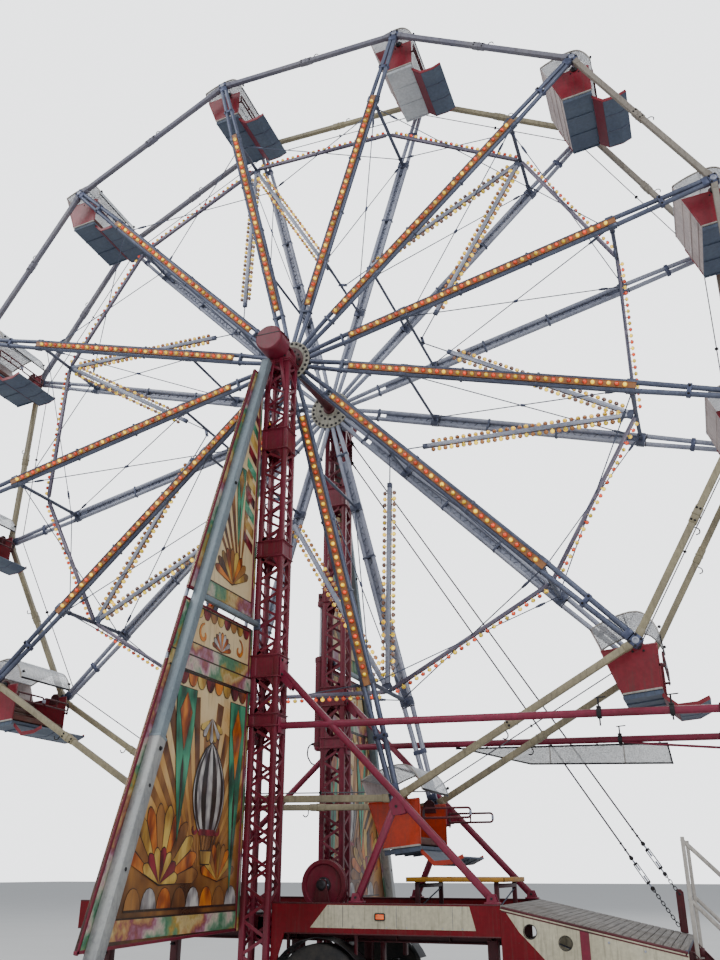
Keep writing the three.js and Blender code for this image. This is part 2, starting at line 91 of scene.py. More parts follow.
def maths(operation, a, b=0.0, clamp=False):
    return node("Math", {0: a, 1: b}, operation=operation, use_clamp=clamp).outputs[0]


def times(a, b, clamp=False):
    return maths("MULTIPLY", a, b, clamp)


def plus(a, b, clamp=False):
    return maths("ADD", a, b, clamp)


def minus(a, b):
    return maths("SUBTRACT", a, b)


def mixed(amount, a, b, kind="MIX"):
    return node("Mix", {0: amount, 6: a, 7: b}, data_type="RGBA", blend_type=kind).outputs[2]


def shaded(colour, shade):
    """Colour darkened or lifted by a grey value."""
    grey = node("CombineColor", {0: shade, 1: shade, 2: shade}).outputs[0]
    return node("Mix", {0: 1.0, 6: colour, 7: grey}, data_type="RGBA", blend_type="MULTIPLY").outputs[2]


def between(value, low, high, out_low=0.0, out_high=1.0):
    """Remaps a value from one span to another, clamped."""
    return node("MapRange", {0: value, 1: low, 2: high, 3: out_low, 4: out_high}).outputs[0]


def noise(vector, scale, detail=3.0, roughness=0.55):
    return node("TexNoise", {"Vector": vector, "Scale": scale, "Detail": detail,
        "Roughness": roughness}).outputs[0]


def stretched(vector, scale):
    return node("Mapping", {"Vector": vector, "Scale": scale}).outputs[0]


def source(tree, kind, output):
    """Output of a node that takes no inputs."""
    return tree.nodes.new("ShaderNode" + kind).outputs[output]


def new_group(name, inputs):
    """Node group for a surface: its tree, its entry and exit sockets by name, and the spot on the piece."""
    tree = bpy.data.node_groups.new(name, "ShaderNodeTree")
    for label, value in inputs.items():
        kind = "NodeSocketFloat" if isinstance(value, float) else "NodeSocketColor"
        tree.interface.new_socket(label, in_out="INPUT", socket_type=kind).default_value = value
    for label, kind in (("Color", "Color"), ("Roughness", "Float"), ("Height", "Float")):
        tree.interface.new_socket(label, in_out="OUTPUT", socket_type="NodeSocket" + kind)
    entry = tree.nodes.new("NodeGroupInput")
    leave = tree.nodes.new("NodeGroupOutput")
    return tree, entry.outputs, leave.inputs, source(tree, "TexCoord", "Object")


def closed(out, colour, rough, height):
    """Links the three results of a group and returns its tree."""
    for label, value in (("Color", colour), ("Roughness", rough), ("Height", height)):
        feed(out[label], value)
    return out["Color"].id_data


def weathering_group():
    """Outdoor paint: two tones, rain streaks, settled dust, and chips down to primer or steel."""
    tree, given, out, spot = new_group("outdoor weathering",
        {"Paint": tone("8c1822"), "Faded": tone("a04048"), "Dirt": tone("4a4038"), "Chip": tone("55504c"),
        "Streaks": 0.4, "Chips": 0.3, "Gloss": 0.4})
    facing = node("SeparateXYZ", {0: source(tree, "NewGeometry", "Normal")}).outputs[2]
    broad = between(noise(spot, 1.7, 4), 0.35, 0.68)
    colour = mixed(broad, given["Paint"], given["Faded"])
    mottle = between(noise(spot, 26, 4), 0.3, 0.72, 0.82, 1.1)
    colour = shaded(colour, mottle)
    runs = noise(stretched(spot, (16, 16, 1.1)), 2.2, 5, 0.65)
    runs = between(runs, 0.5, 0.72)
    wall = minus(1.0, maths("ABSOLUTE", facing))
    runs = times(times(runs, wall), given["Streaks"], clamp=True)
    colour = mixed(runs, colour, given["Dirt"])
    lying = between(facing, 0.55, 0.95, 0.0, 0.3)
    lying = times(lying, between(noise(spot, 9, 3), 0.35, 0.6))
    colour = mixed(lying, colour, tone("8d867a"))
    flakes = node("TexVoronoi", {"Vector": spot, "Scale": 34.0, "Randomness": 1.0}).outputs["Distance"]
    flakes = plus(times(flakes, 0.55), noise(spot, 7, 6, 0.7))
    chip = between(flakes, 0.475, 0.45)
    chip = times(chip, given["Chips"], clamp=True)
    colour = mixed(chip, colour, given["Chip"])
    rough = plus(given["Gloss"], times(noise(spot, 13, 3), 0.18))
    rough = plus(rough, times(runs, 0.25), clamp=True)
    return closed(out, colour, rough, minus(times(noise(spot, 90, 2), 0.25), chip))


def spangle_group():
    """Galvanised steel: zinc crystals in two greys with white bloom and dark run marks."""
    _, given, out, spot = new_group("zinc spangle", {"Light": tone("a3a9b2"), "Dark": tone("7b818c"),
        "Grime": 0.4})
    crystal = node("TexVoronoi", {"Vector": spot, "Scale": 42.0}).outputs["Color"]
    crystal = node("SeparateColor", {0: crystal}).outputs[0]
    broad = noise(spot, 1.3, 4)
    lift = plus(times(crystal, 0.35), between(broad, 0.35, 0.68, 0.0, 0.65))
    colour = mixed(lift, given["Dark"], given["Light"])
    marks = between(noise(stretched(spot, (9, 9, 1.3)), 3.0, 5, 0.7), 0.52, 0.75)
    marks = times(marks, given["Grime"], clamp=True)
    colour = mixed(marks, colour, tone("5c5a5e"))
    return closed(out, colour, between(crystal, 0.0, 1.0, 0.38, 0.58),
        plus(times(crystal, 0.2), noise(spot, 120, 2)))


def brush_group():
    """Hand-painted sheet under varnish: soft cloudy shading between three tones and fine cracks."""
    _, given, out, spot = new_group("painted shading", {"Light": tone("f2dfa8"), "Middle": tone("d9b36c"),
        "Deep": tone("8a5a2c"), "Scale": 3.0})
    cloud = noise(stretched(spot, (1, 1.4, 0.7)), given["Scale"], 2, 0.45)
    colour = mixed(between(cloud, 0.46, 0.62), given["Middle"], given["Light"])
    colour = mixed(between(cloud, 0.46, 0.33), colour, given["Deep"])
    strokes = noise(stretched(spot, (1, 30, 4)), 3.0, 3)
    shade = between(strokes, 0.3, 0.7, 0.86, 1.06)
    colour = shaded(colour, shade)
    cracks = node("TexVoronoi", {"Vector": spot, "Scale": 22.0},
        feature="DISTANCE_TO_EDGE").outputs["Distance"]
    cracks = times(between(cracks, 0.02, 0.0), between(noise(spot, 2.0), 0.5, 0.65))
    colour = mixed(times(cracks, 0.5), colour, tone("5a4632"))
    runs = between(noise(stretched(spot, (1, 14, 1.1)), 2.0, 5, 0.65), 0.55, 0.75, 0.0, 0.35)
    colour = mixed(runs, colour, tone("6a5a45"))
    return closed(out, colour, between(noise(spot, 11), 0.3, 0.7, 0.28, 0.48),
        minus(times(strokes, 0.3), cracks))


def bare_material(name):
    """New material, and the spot on the piece."""
    material = bpy.data.materials.new(name)
    material.use_nodes = True
    return material, source(material.node_tree, "TexCoord", "Object")


def finished(material, colour, rough, height, strength, distance, **sockets):
    """Feeds a material's colour, roughness and relief, and other sockets by name."""
    shader = material.node_tree.nodes["Principled BSDF"].inputs
    bump = node("Bump", {"Height": height, "Strength": strength, "Distance": distance}).outputs[0]
    for key, value in {"Base_Color": colour, "Roughness": rough, "Normal": bump, **sockets}.items():
        feed(shader[key.replace("_", " ")], value)
    return material


def dressed(name, group, values, strength=0.25, distance=0.002, **sockets):
    """Material whose colour, roughness and relief come from a shared group with its own values."""
    material, _ = bare_material(name)
    made = material.node_tree.nodes.new("ShaderNodeGroup")
    made.node_tree = group
    for key, value in values.items():
        made.inputs[key].default_value = value
    return finished(material, *made.outputs, strength, distance, **sockets)


WEATHER = weathering_group()
ZINC = spangle_group()
BRUSH = brush_group()


def paint(name, colour, faded, streaks=0.4, chips=0.3, gloss=0.4, chip="55504c", **sockets):
    values = {"Paint": tone(colour), "Faded": tone(faded), "Dirt": tone("4a4038"), "Chip": tone(chip),
        "Streaks": streaks, "Chips": chips, "Gloss": gloss}
    return dressed(name, WEATHER, values, **sockets)


def zinc(name, light, dark, grime, metallic):
    return dressed(name, ZINC, {"Light": tone(light), "Dark": tone(dark), "Grime": grime},
        Metallic=metallic)


def artist(name, light, middle, deep, scale=3.0):
    values = {"Light": tone(light), "Middle": tone(middle), "Deep": tone(deep), "Scale": scale}
    return dressed(name, BRUSH, values, strength=0.12, Coat_Weight=0.35, Coat_Roughness=0.15)


def lamp(name, rim_colour, heart_colour, glow):
    """Moulded lamp cap: deep at its edge, bright at its heart, each cap a little different."""
    material, spot = bare_material(name)
    cell = node("TexVoronoi", {"Vector": spot, "Scale": 10.0}).outputs["Color"]
    cell = node("SeparateColor", {0: cell}).outputs[0]
    facing = material.node_tree.nodes.new("ShaderNodeLayerWeight")
    facing.inputs["Blend"].default_value = 0.4
    centre = between(facing.outputs["Facing"], 0.0, 0.55, 1.0, 0.0)
    colour = mixed(centre, tone(rim_colour), tone(heart_colour))
    ribs = node("TexWave", {"Vector": spot, "Scale": 60.0, "Distortion": 1.5}).outputs["Fac"]
    shine = mixed(between(cell, 0.15, 0.75), tone("140a04"), colour)
    return finished(material, colour, 0.22, ribs, 0.15, 0.001, Emission_Color=shine, Emission_Strength=glow,
        Coat_Weight=0.5)


def milky(name, colour, alpha_low, alpha_high, rough):
    """Scuffed see-through plastic sheet."""
    material, spot = bare_material(name)
    scuffs = noise(stretched(spot, (3, 9, 3)), 5.0, 6, 0.7)
    tint = mixed(between(scuffs, 0.3, 0.7), tone(colour), tone("f4f6f6"))
    return finished(material, tint, between(scuffs, 0.3, 0.7, rough, rough + 0.2), scuffs, 0.08, 0.002,
        Alpha=between(scuffs, 0.35, 0.7, alpha_low, alpha_high), Coat_Weight=0.4)


def planking(name, light, dark, along):
    """Weathered boards: grain along one axis, end rot and foot wear."""
    material, spot = bare_material(name)
    scale = tuple(0.6 if axis == along else 22.0 for axis in range(3))
    grain = noise(stretched(spot, scale), 2.6, 6, 0.7)
    patch = noise(spot, 3.0, 4)
    colour = mixed(between(grain, 0.35, 0.68), tone(dark), tone(light))
    colour = mixed(between(patch, 0.52, 0.75, 0.0, 0.6), colour, tone("6b635a"))
    return finished(material, colour, between(patch, 0.3, 0.7, 0.6, 0.85), grain, 0.5, 0.003)


def rubber():
    material, spot = bare_material("tyre rubber")
    dust = between(noise(spot, 6, 5, 0.65), 0.42, 0.7, 0.0, 0.55)
    tint = mixed(dust, tone("1b1b1d"), tone("5a544c"))
    return finished(material, tint, between(dust, 0.0, 0.5, 0.62, 0.9), noise(spot, 140, 2), 0.3, 0.001)


def wire_rope():
    material, spot = bare_material("wire rope")
    lay = node("TexWave", {"Vector": spot, "Scale": 150.0, "Distortion": 0.4},
        bands_direction="DIAGONAL").outputs["Fac"]
    tint = mixed(lay, tone("55525a"), tone("7a777e"))
    tint = mixed(between(noise(spot, 5), 0.5, 0.7, 0, 0.5), tint, tone("4d3d33"))
    return finished(material, tint, between(lay, 0.0, 1.0, 0.55, 0.4), lay, 0.6, 0.002, Metallic=0.3)


GALV = zinc("galvanised steel", "b6bac8", "82879a", 0.4, 0.35)
# Darker copy of the galvanised zinc for the near-side spokes and lamp boards: painted shade; the far side
# keeps the lighter zinc
GALV_SHADED = zinc("spoke zinc with painted shade", "747b8f", "454b60", 0.5, 0.5)
GALV_DARK = zinc("dull zinc bars", "666c80", "42485a", 0.5, 0.5)
GALV_BLUE = zinc("blue-grey fittings", "5e6682", "3c425a", 0.4, 0.4)
LEG_GREY = zinc("leg grey", "8c999f", "66747d", 0.45, 0.25)
LEG_PALE = zinc("lower leg zinc", "b2b3ae", "84878a", 0.6, 0.35)
STAR_GREY = zinc("star channel", "8d8694", "5b5568", 0.5, 0.35)
# Grey and tan copies of the rim cream for the bars near the top of the wheel: painted shade, the grey one
# the deeper
RIM_SHADE_GREY = paint("rim grey painted shade", "6a6a7a", "7c7a82", 0.55, 0.55, 0.5, "4c4850")
RIM_HALF_SHADE_TAN = paint("rim tan painted half shade", "857c72", "928b80", 0.6, 0.6, 0.5, "54504c")
RIM_CREAM = paint("rim cream", "a09678", "847b66", 0.55, 0.55, 0.45, "5c5450")
MAST_RED = paint("mast crimson", "660a20", "7c1c36", 0.5, 0.35, 0.34, "4a2224")
DEEP_RED = paint("dark red steel", "420812", "5a1420", 0.4, 0.4, 0.4)
BOOM_RED = paint("boom red", "74122e", "8c2846", 0.4, 0.35, 0.32, "4a2224")
TRAILER_RED = paint("trailer red", "64000e", "760a1a", 0.35, 0.25, 0.34, Specular_IOR_Level=0.25)
CAR_RED = paint("car red", "7c1422", "8e2836", 0.5, 0.35, 0.32, Coat_Weight=0.1)
CAR_ORANGE = paint("car orange red", "b42a08", "c43c10", 0.35, 0.3, 0.28, Coat_Weight=0.3)
CAR_PALE = paint("car pale back", "b9a8a6", "d2c3be", 0.6, 0.3, 0.4, "8a5a55")
CREAM = paint("panel cream", "b5ae94", "c8c1a8", 0.5, 0.25, 0.4, "7c7466")
HUB_GREY = paint("hub plate", "8f8b7e", "a8a496", 0.7, 0.8, 0.5, "35302e")
SLATE = paint("underside slate", "48546a", "586576", 0.5, 0.4, 0.5)
PALE_FLOOR = paint("pale seat floor", "b7bcc2", "ccd0d4", 0.5, 0.3, 0.5)
MESH_PALE = paint("pale mesh", "a4a7b0", "bfc2ca", 0.3, 0.3, 0.4)
MESH_DARK = paint("dark mesh", "303848", "3e4858", 0.3, 0.3, 0.4)
WHITE_STRIP = paint("white strip", "a8a29a", "bfbab2", 0.5, 0.4, 0.4)
LAMP_BOARD = paint("lamp board brown", "8f5c38", "a87448", 0.4, 0.5, 0.4)
YELLOW = paint("edge yellow", "b8801c", "a47628", 0.4, 0.6, 0.45, "6d5b3c")
STEEL_DARK = paint("oily steel", "232225", "38363a", 0.3, 0.2, 0.35, Metallic=0.5)
CHROME = zinc("ground rod", "d5d8dc", "b0b4ba", 0.1, 0.95)
DECK_GREY = paint("deck plate", "4a484c", "5c595a", 0.2, 0.5, 0.45, Metallic=0.3)
LAMP_YELLOW = lamp("yellow lamp", "d08e0c", "ffe244", 1.3)
LAMP_RED = lamp("amber lamp", "96140c", "f0562c", 0.9)
LAMP_BROWN = lamp("unlit lamp", "4e3434", "a07a68", 0.1)
LAMP_DIM = lamp("dim amber lamp", "7a3418", "c88a50", 0.35)
HOOD = milky("hood sheet", "bcc6d0", 0.55, 0.8, 0.25)
SCREEN = milky("screen sheet", "b4b8ba", 0.62, 0.85, 0.4)
TIMBER = planking("grey gangway planks", "8f8a84", "5c5752", 1)
SEAT_WOOD = planking("seat boards", "6e3a30", "45201c", 1)
RUBBER = rubber()
ROPE = wire_rope()


# Modelling helpers: each adds a primitive at its place and shapes it in edit mode

def clear():
    bpy.ops.object.select_all(action="DESELECT")


def soften(degrees):
    bpy.ops.object.shade_smooth_by_angle(angle=radians(degrees))


def settle(material):
    """Applies the new primitive's place and gives it its material."""
    piece = bpy.context.object
    bpy.ops.object.transform_apply(location=True, rotation=True, scale=True)
    piece.data.materials.append(material)
    return piece


def pick(piece, test):
    """Selects the faces that pass the test, in edit mode."""
    mesh = bmesh.from_edit_mesh(piece.data)
    for face in mesh.faces:
        face.select_set(False)
    for face in mesh.faces:
        if test(face):
            face.select_set(True)
    bmesh.update_edit_mesh(piece.data)


def edit():
    bpy.ops.object.mode_set(mode="EDIT")
    bpy.ops.mesh.select_mode(type="FACE")
    bpy.ops.mesh.select_all(action="SELECT")


def leave():
    bpy.ops.object.mode_set(mode="OBJECT")


def draw_out(offset):
    bpy.ops.mesh.extrude_region_move(TRANSFORM_OT_translate={"value": offset})


def outward():
    bpy.ops.mesh.select_all(action="SELECT")
    bpy.ops.mesh.normals_make_consistent(inside=False)


def apply(piece, kind, **settings):
    """Adds a modifier, sets it and applies it."""
    clear()
    piece.select_set(True)
    bpy.context.view_layer.objects.active = piece
    made = piece.modifiers.new(kind.title(), kind)
    for key, value in settings.items():
        setattr(made, key, value)
    bpy.ops.object.modifier_apply(modifier=made.name)
    return piece


def copy_of(piece, matrix):
    """Copy with its own mesh, moved by a matrix."""
    made = piece.copy()
    made.data = piece.data.copy()
    made.data.transform(matrix)
    if matrix.determinant() < 0:
        made.data.flip_normals()
    bpy.context.scene.collection.objects.link(made)
    return made


def joined(name, pieces):
    pieces = list(pieces)
    clear()
    for piece in pieces:
        piece.select_set(True)
    bpy.context.view_layer.objects.active = pieces[0]
    if len(pieces) > 1:
        bpy.ops.object.join()
    pieces[0].name = name
    pieces[0].data.name = name
    return pieces[0]


def discard(*pieces):
    for piece in pieces:
        bpy.data.objects.remove(piece)


def block(low, high, material, edge=0.003, segments=1):
    """Box with its edges broken."""
    clear()
    low, high = Vector(low), Vector(high)
    bpy.ops.mesh.primitive_cube_add(size=1, location=(low + high) / 2, scale=high - low)
    piece = settle(material)
    if edge:
        edit()
        bpy.ops.mesh.bevel(offset=edge, segments=segments, affect="EDGES")
        leave()
        soften(50)
    return piece


def cube(centre, half, *finish):
    """Block about its centre, by its half sizes."""
    return block([c - h for c, h in zip(centre, half)], [c + h for c, h in zip(centre, half)], *finish)


def post(x, y, wide, deep, z0, z1, *finish):
    """Block centred on x and y, by its half widths, between two heights."""
    return block((x - wide, y - deep, z0), (x + wide, y + deep, z1), *finish)


def rail(x0, x1, y, deep, z0, z1, *finish):
    """Block that runs along x, centred on y."""
    return block((x0, y - deep, z0), (x1, y + deep, z1), *finish)


def line_up(start, end, side):
    """Matrix that lays local Z along a line, with local X towards side, centred on the line."""
    start, end, side = Vector(start), Vector(end), Vector(side)
    along = (end - start).normalized()
    across = (side - along * side.dot(along)).normalized()
    turn = Matrix((across, along.cross(across), along)).transposed().to_4x4()
    return Matrix.Translation((start + end) / 2) @ turn


def beam(start, end, width, depth, side, material, edge=0.002):
    """Straight bar of box section: width towards side, depth across."""
    half = (Vector(end) - Vector(start)).length / 2
    piece = block((-width / 2, -depth / 2, -half), (width / 2, depth / 2, half), material, edge)
    piece.data.transform(line_up(start, end, side))
    return piece


def strut(a, b, y, width, depth, side, material, edge=0.002):
    """Bar between two (x, z) points at one y."""
    return beam((a[0], y, a[1]), (b[0], y, b[1]), width, depth, side, material, edge)


def crossbar(x, z, reach, width, depth, side, material, edge=0.002):
    """Bar across the part, as far to each side."""
    return beam((x, -reach, z), (x, reach, z), width, depth, side, material, edge)


def tube(start, end, diameter, material, sides=12, wall=0.0):
    """Round bar, or a pipe with open ends where a wall is given."""
    clear()
    start, end = Vector(start), Vector(end)
    run = end - start
    bpy.ops.mesh.primitive_cylinder_add(vertices=sides, radius=diameter / 2, depth=run.length,
        location=(start + end) / 2, rotation=run.to_track_quat("Z", "Y").to_euler())
    piece = settle(material)
    edit()
    pick(piece, lambda face: len(face.verts) > 4)
    if wall:
        bpy.ops.mesh.inset(thickness=wall)
        bpy.ops.mesh.inset(thickness=0.0, depth=-2 * wall)
    else:
        bpy.ops.mesh.inset(thickness=diameter * 0.08, depth=diameter * 0.04)
    leave()
    soften(40)
    return piece


def pipe(points, diameter, material, sides=12):
    """Pipe through nearly straight stations, drawn out ring by ring."""
    clear()
    points = [Vector(point) for point in points]
    run = points[1] - points[0]
    bpy.ops.mesh.primitive_circle_add(vertices=sides, radius=diameter / 2, fill_type="NGON",
        location=points[0], rotation=run.to_track_quat("Z", "Y").to_euler())
    piece = settle(material)
    edit()
    for a, b in zip(points, points[1:]):
        draw_out(b - a)
    outward()
    leave()
    soften(40)
    return piece


def bent(points, diameter, material, bend=0.05, closed=False, sides=3):
    """Bent pipe: a chain of edges with rounded corners, turned into a thick curve and back to a mesh."""
    clear()
    points = [Vector(point) for point in points]
    bpy.ops.mesh.primitive_circle_add(vertices=len(points), radius=1, fill_type="NOTHING")
    piece = settle(material)
    leave_edge = None if closed else (len(points) - 1, 0)
    for vertex, point in zip(piece.data.vertices, points):
        vertex.co = point
    bpy.ops.object.mode_set(mode="EDIT")
    mesh = bmesh.from_edit_mesh(piece.data)
    mesh.verts.ensure_lookup_table()
    if leave_edge:
        last, first = (mesh.verts[k] for k in leave_edge)
        mesh.edges.remove(mesh.edges.get((last, first)))
    for vertex in mesh.verts:
        vertex.select_set(len(vertex.link_edges) == 2)
    bmesh.update_edit_mesh(piece.data)
    if bend:
        bpy.ops.mesh.bevel(offset=bend, segments=4, affect="VERTICES")
    leave()
    bpy.ops.object.convert(target="CURVE")
    curve = bpy.context.object.data
    curve.bevel_depth = diameter / 2
    curve.bevel_resolution = sides
    curve.use_fill_caps = True
    bpy.ops.object.convert(target="MESH")
    soften(50)
    piece = bpy.context.object
    if not piece.data.materials:
        piece.data.materials.append(material)
    return piece


def turned(stations, spot, axis, material, sides=16, smooth=35):
    """Turned shape: a disc stepped up through (radius, height) stations along an axis."""
    clear()
    radius, height = stations[0]
    bpy.ops.mesh.primitive_circle_add(vertices=sides, radius=radius, fill_type="NGON",
        location=(0, 0, height))
    piece = settle(material)
    edit()
    for next_radius, next_height in stations[1:]:
        draw_out((0, 0, next_height - height))
        scale = next_radius / radius
        bpy.ops.transform.resize(value=(scale, scale, 1), center_override=(0, 0, next_height))
        radius, height = next_radius, next_height
    outward()
    leave()
    soften(smooth)
    turn = Vector(axis).to_track_quat("Z", "Y").to_matrix().to_4x4()
    piece.data.transform(Matrix.Translation(spot) @ turn)
    return piece


def collar(inner, outer, half, spot, axis, material, sides, lip=0.002):
    """Turned ring about a spot, with its edges broken."""
    return turned([(inner, -half), (outer, lip - half), (outer, half - lip), (inner, half)], spot, axis,
        material, sides)


def plate(points, offset, material, edge=0.0):
    """Flat outline in space, given its thickness by an offset."""
    clear()
    bpy.ops.mesh.primitive_circle_add(vertices=len(points), radius=1, fill_type="NGON")
    piece = settle(material)
    for vertex, point in zip(piece.data.vertices, points):
        vertex.co = point
    edit()
    draw_out(Vector(offset))
    outward()
    leave()
    if edge:
        apply(piece, "BEVEL", width=edge, segments=1, limit_method="ANGLE", angle_limit=radians(40))
    return piece


def flat_xz(points, y0, y1, material, edge=0.0):
    """Plate between two planes, from its (x, z) outline."""
    return plate([(x, y0, z) for x, z in points], (0, y1 - y0, 0), material, edge)


def upright(outline, x, thick, material, edge=0.0):
    """Plate square to x, from its outline in metres out on the near side and up."""
    return plate([(x, -y, z) for y, z in outline], (thick, 0, 0), material, edge)


def row(piece, step, count):
    """Piece and its copies, a step apart."""
    return apply(piece, "ARRAY", count=count, use_relative_offset=False, use_constant_offset=True,
        constant_offset_displace=step)


def bolt(spot, axis, size, material, sides=6):
    """Hexagon head on a washer."""
    profile = [(0.75, 0), (0.75, 0.1), (0.5, 0.1), (0.5, 0.5), (0.42, 0.56)]
    return turned([(size * r, size * h) for r, h in profile], spot, axis, material, sides)


def copies(first, spots):
    """Copies of a piece at each spot, without the first one."""
    made = [copy_of(first, Matrix.Translation(spot)) for spot in spots]
    discard(first)
    return made


def bolts(spots, axis, size, material=STEEL_DARK):
    return copies(bolt((0, 0, 0), axis, size, material), spots)


def around(name, unit, shift=0.0, bays=range(BAYS)):
    """Copies a unit modelled at the top of the wheel to its bays and joins the copies."""
    made = []
    for bay in bays:
        turn = Matrix.Rotation(FIRST + radians(30 * bay + shift), 4, "Y")
        made.append(copy_of(unit, Matrix.Translation((0, 0, HUB)) @ turn))
    discard(unit)
    return joined(name, made)


def place(piece, body, slot, *nodes):
    """Rides a finished piece on its body and hides the solids that it stands for; the slot is not used."""
    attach(piece, body)
    if nodes:
        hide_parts(*nodes)
    return piece


# Lamps: one cap is turned once and copied along its board

LAMP_PITCH = 0.0905


def lamp_row(start, step, count, axis, size=1, stem=0, second=LAMP_RED, first=LAMP_YELLOW):
    """Straight row of caps in two colours that take turns."""
    made = []
    start, step = Vector(start), Vector(step)
    for k, material in enumerate((first, second)):
        r = 0.027 * size
        profile = [(r, stem), (r, stem + 0.014 * size), (r * 0.78, stem + 0.027 * size),
            (r * 0.3, stem + 0.035 * size)]
        if stem:
            profile = [(0.007, 0), (0.007, stem * 0.8)] + profile
        unit = turned(profile, start + step * k, axis, material, 8, 60)
        made.append(row(unit, step * 2, (count + 1 - k) // 2))
    return made


# Wheel: spokes, modelled at the top of the wheel and copied round

def spoke_unit(side):
    plane = side * SPOKE_PLANE
    # The near side takes the darker zinc: painted shade
    zinc = GALV_SHADED if side < 0 else GALV
    for hand in (-1, 1):
        line = [(hand * 0.034, plane, 0.17), (hand * 0.055, plane, 0.76), (hand * 0.055, plane, KNEE),
            (hand * 0.031, plane, 5.625)]
        yield pipe(line, 0.062, zinc, 12)
    for height in (0.78, 2.42, 3.36):
        yield cube((0, plane, height), (0.089, 0.034, 0.015), GALV_DARK)
    yield post(0, plane, 0.079, 0.035, 5.03, 5.08, GALV_BLUE, 0.004)
    yield from bolts([(x, plane + side * 0.035, 5.055) for x in (-0.05, 0.05)], (0, side, 0), 0.022)
    yield post(0, plane, 0.056, 0.036, 5.56, 5.636, GALV_BLUE, 0.005)
    for height, wide in ((INNER, 0.16), (KNEE, 0.17)):
        yield cube((0, plane, height), (wide / 2, 0.036, 0.05), GALV_DARK, 0.004)
        for x in (-0.055, 0.055):
            hoop = [(-0.03, 0.012), (-0.03, -0.03), (0.03, -0.03), (0.03, 0.012)]
            hoop = [(x + across, plane + side * out, height + 0.067) for across, out in hoop]
            yield bent(hoop, 0.009, STEEL_DARK, 0.02, sides=1)
    web = [(-0.05, KNEE - 0.05), (0.05, KNEE - 0.05), (0.012, KNEE - 0.19), (-0.012, KNEE - 0.19)]
    yield flat_xz(web, plane - 0.01, plane + 0.01, GALV_DARK, 0.002)


def lamp_board_unit(side):
    """Folded back sheet between the tubes, and a narrow strip of caps that stands proud of it."""
    # The near side takes the darker zinc: painted shade
    zinc = GALV_SHADED if side < 0 else GALV

    def slab(x0, x1, near, far, z0, z1, material, edge):
        low, high = sorted((side * near, side * far))
        return block((x0, low, z0), (x1, high, z1), material, edge)

    yield slab(-0.057, 0.057, 0.744, 0.7475, 0.88, 4.49, zinc, 0)
    for hand in (-1, 1):
        yield slab(hand * 0.059 - 0.0022, hand * 0.059 + 0.0022, 0.742, 0.76, 0.88, 4.49, zinc, 0.001)
        yield slab(hand * 0.037 - 0.002, hand * 0.037 + 0.002, 0.7475, 0.77, 0.88, 4.49, LAMP_BOARD, 0.001)
    yield slab(-0.0365, 0.0365, 0.7475, 0.764, 0.882, 4.488, LAMP_BOARD, 0)
    yield from lamp_row((0, side * 0.764, 0.93), (0, 0, LAMP_PITCH), 39, (0, side, 0), 1)
    rise = [(-0.045, 1.02), (0.045, 1.11), (-0.045, 1.2)]
    zigzag = [strut(a, b, side * 0.7425, 0.014, 0.003, ACROSS, GALV_DARK, 0)
        for a, b in zip(rise, rise[1:])]
    yield row(joined("zigzag", zigzag), (0, 0, 0.18), 19)


for name, side in SIDES:
    unit = joined("spoke unit", spoke_unit(side))
    place(around(name + "_twin_spokes", unit), "wheel", "galvanised", name + "_spokes")
    unit = joined("lamp board unit", lamp_board_unit(side))
    place(around(name + "_lamp_boards", unit), "wheel", "galvanised")


# Rims: box bars with a splice at mid-length, eye boxes and pins at the corners

def rim_bar_unit(side, finish):
    plane = side * RIM_PLANE
    mid = RIM * cos(radians(15))
    reach = RIM * sin(radians(15)) - 0.07
    yield cube((0, plane, mid), (reach, 0.035, 0.035), finish, 0.006, 2)
    yield cube((0, plane, mid), (0.1, 0.041, 0.041), finish, 0.004)
    yield cube((0, plane, mid), (0.006, 0.046, 0.046), finish, 0.002)
    heads = [(x, plane + side * 0.041, mid + z) for x in (-0.07, 0.07) for z in (-0.02, 0.02)]
    yield from bolts(heads, (0, side, 0), 0.018)
    for hand in (-1, 1):
        yield cube((hand * (reach - 0.03), plane, mid), (0.045, 0.04, 0.04), finish, 0.004)
    hook = [(0.13, plane, mid + 0.035), (0.13, plane, mid + 0.09), (0.17, plane, mid + 0.115),
        (0.2, plane, mid + 0.085)]
    yield bent(hook, 0.014, STEEL_DARK, 0.02, sides=1)


def rim_eye_unit(side):
    plane = side * RIM_PLANE
    yield post(0, plane, 0.066, 0.046, RIM - 0.058, RIM + 0.053, GALV_BLUE, 0.012, 2)
    for face in (-1, 1):
        y = plane + face * 0.046
        boss = [(0.036, 0), (0.036, 0.006), (0.03, 0.01), (0.021, 0.01), (0.021, 0.002)]
        yield turned(boss, (0, y, RIM), (0, face, 0), GALV)
        spots = [(x, y, RIM + z) for x in (-0.046, 0.046) for z in (-0.038, 0.034)]
        yield from bolts(spots, (0, face, 0), 0.02)


for name, side in SIDES:
    # Bars near the top of each rim take the grey and tan copies: painted shade; the others keep the cream
    grey, tan = ((8, 9, 10, 11, 0), (1, 2)) if side < 0 else ((9, 10), (1, 2))
    cream = [bay for bay in range(BAYS) if bay not in grey + tan]
    rim = []
    for finish, bays in ((RIM_SHADE_GREY, grey), (RIM_HALF_SHADE_TAN, tan), (RIM_CREAM, cream)):
        rim.append(around("rim bars", joined("bar unit", rim_bar_unit(side, finish)), 15, bays))
    rim.append(around("rim eyes", joined("eye unit", rim_eye_unit(side))))
    place(joined(name + "_rim_bars", rim), "wheel", "cream_paint", name + "_rim")


# Hub: shaft with bearing collars and a bolted plate pair on each side

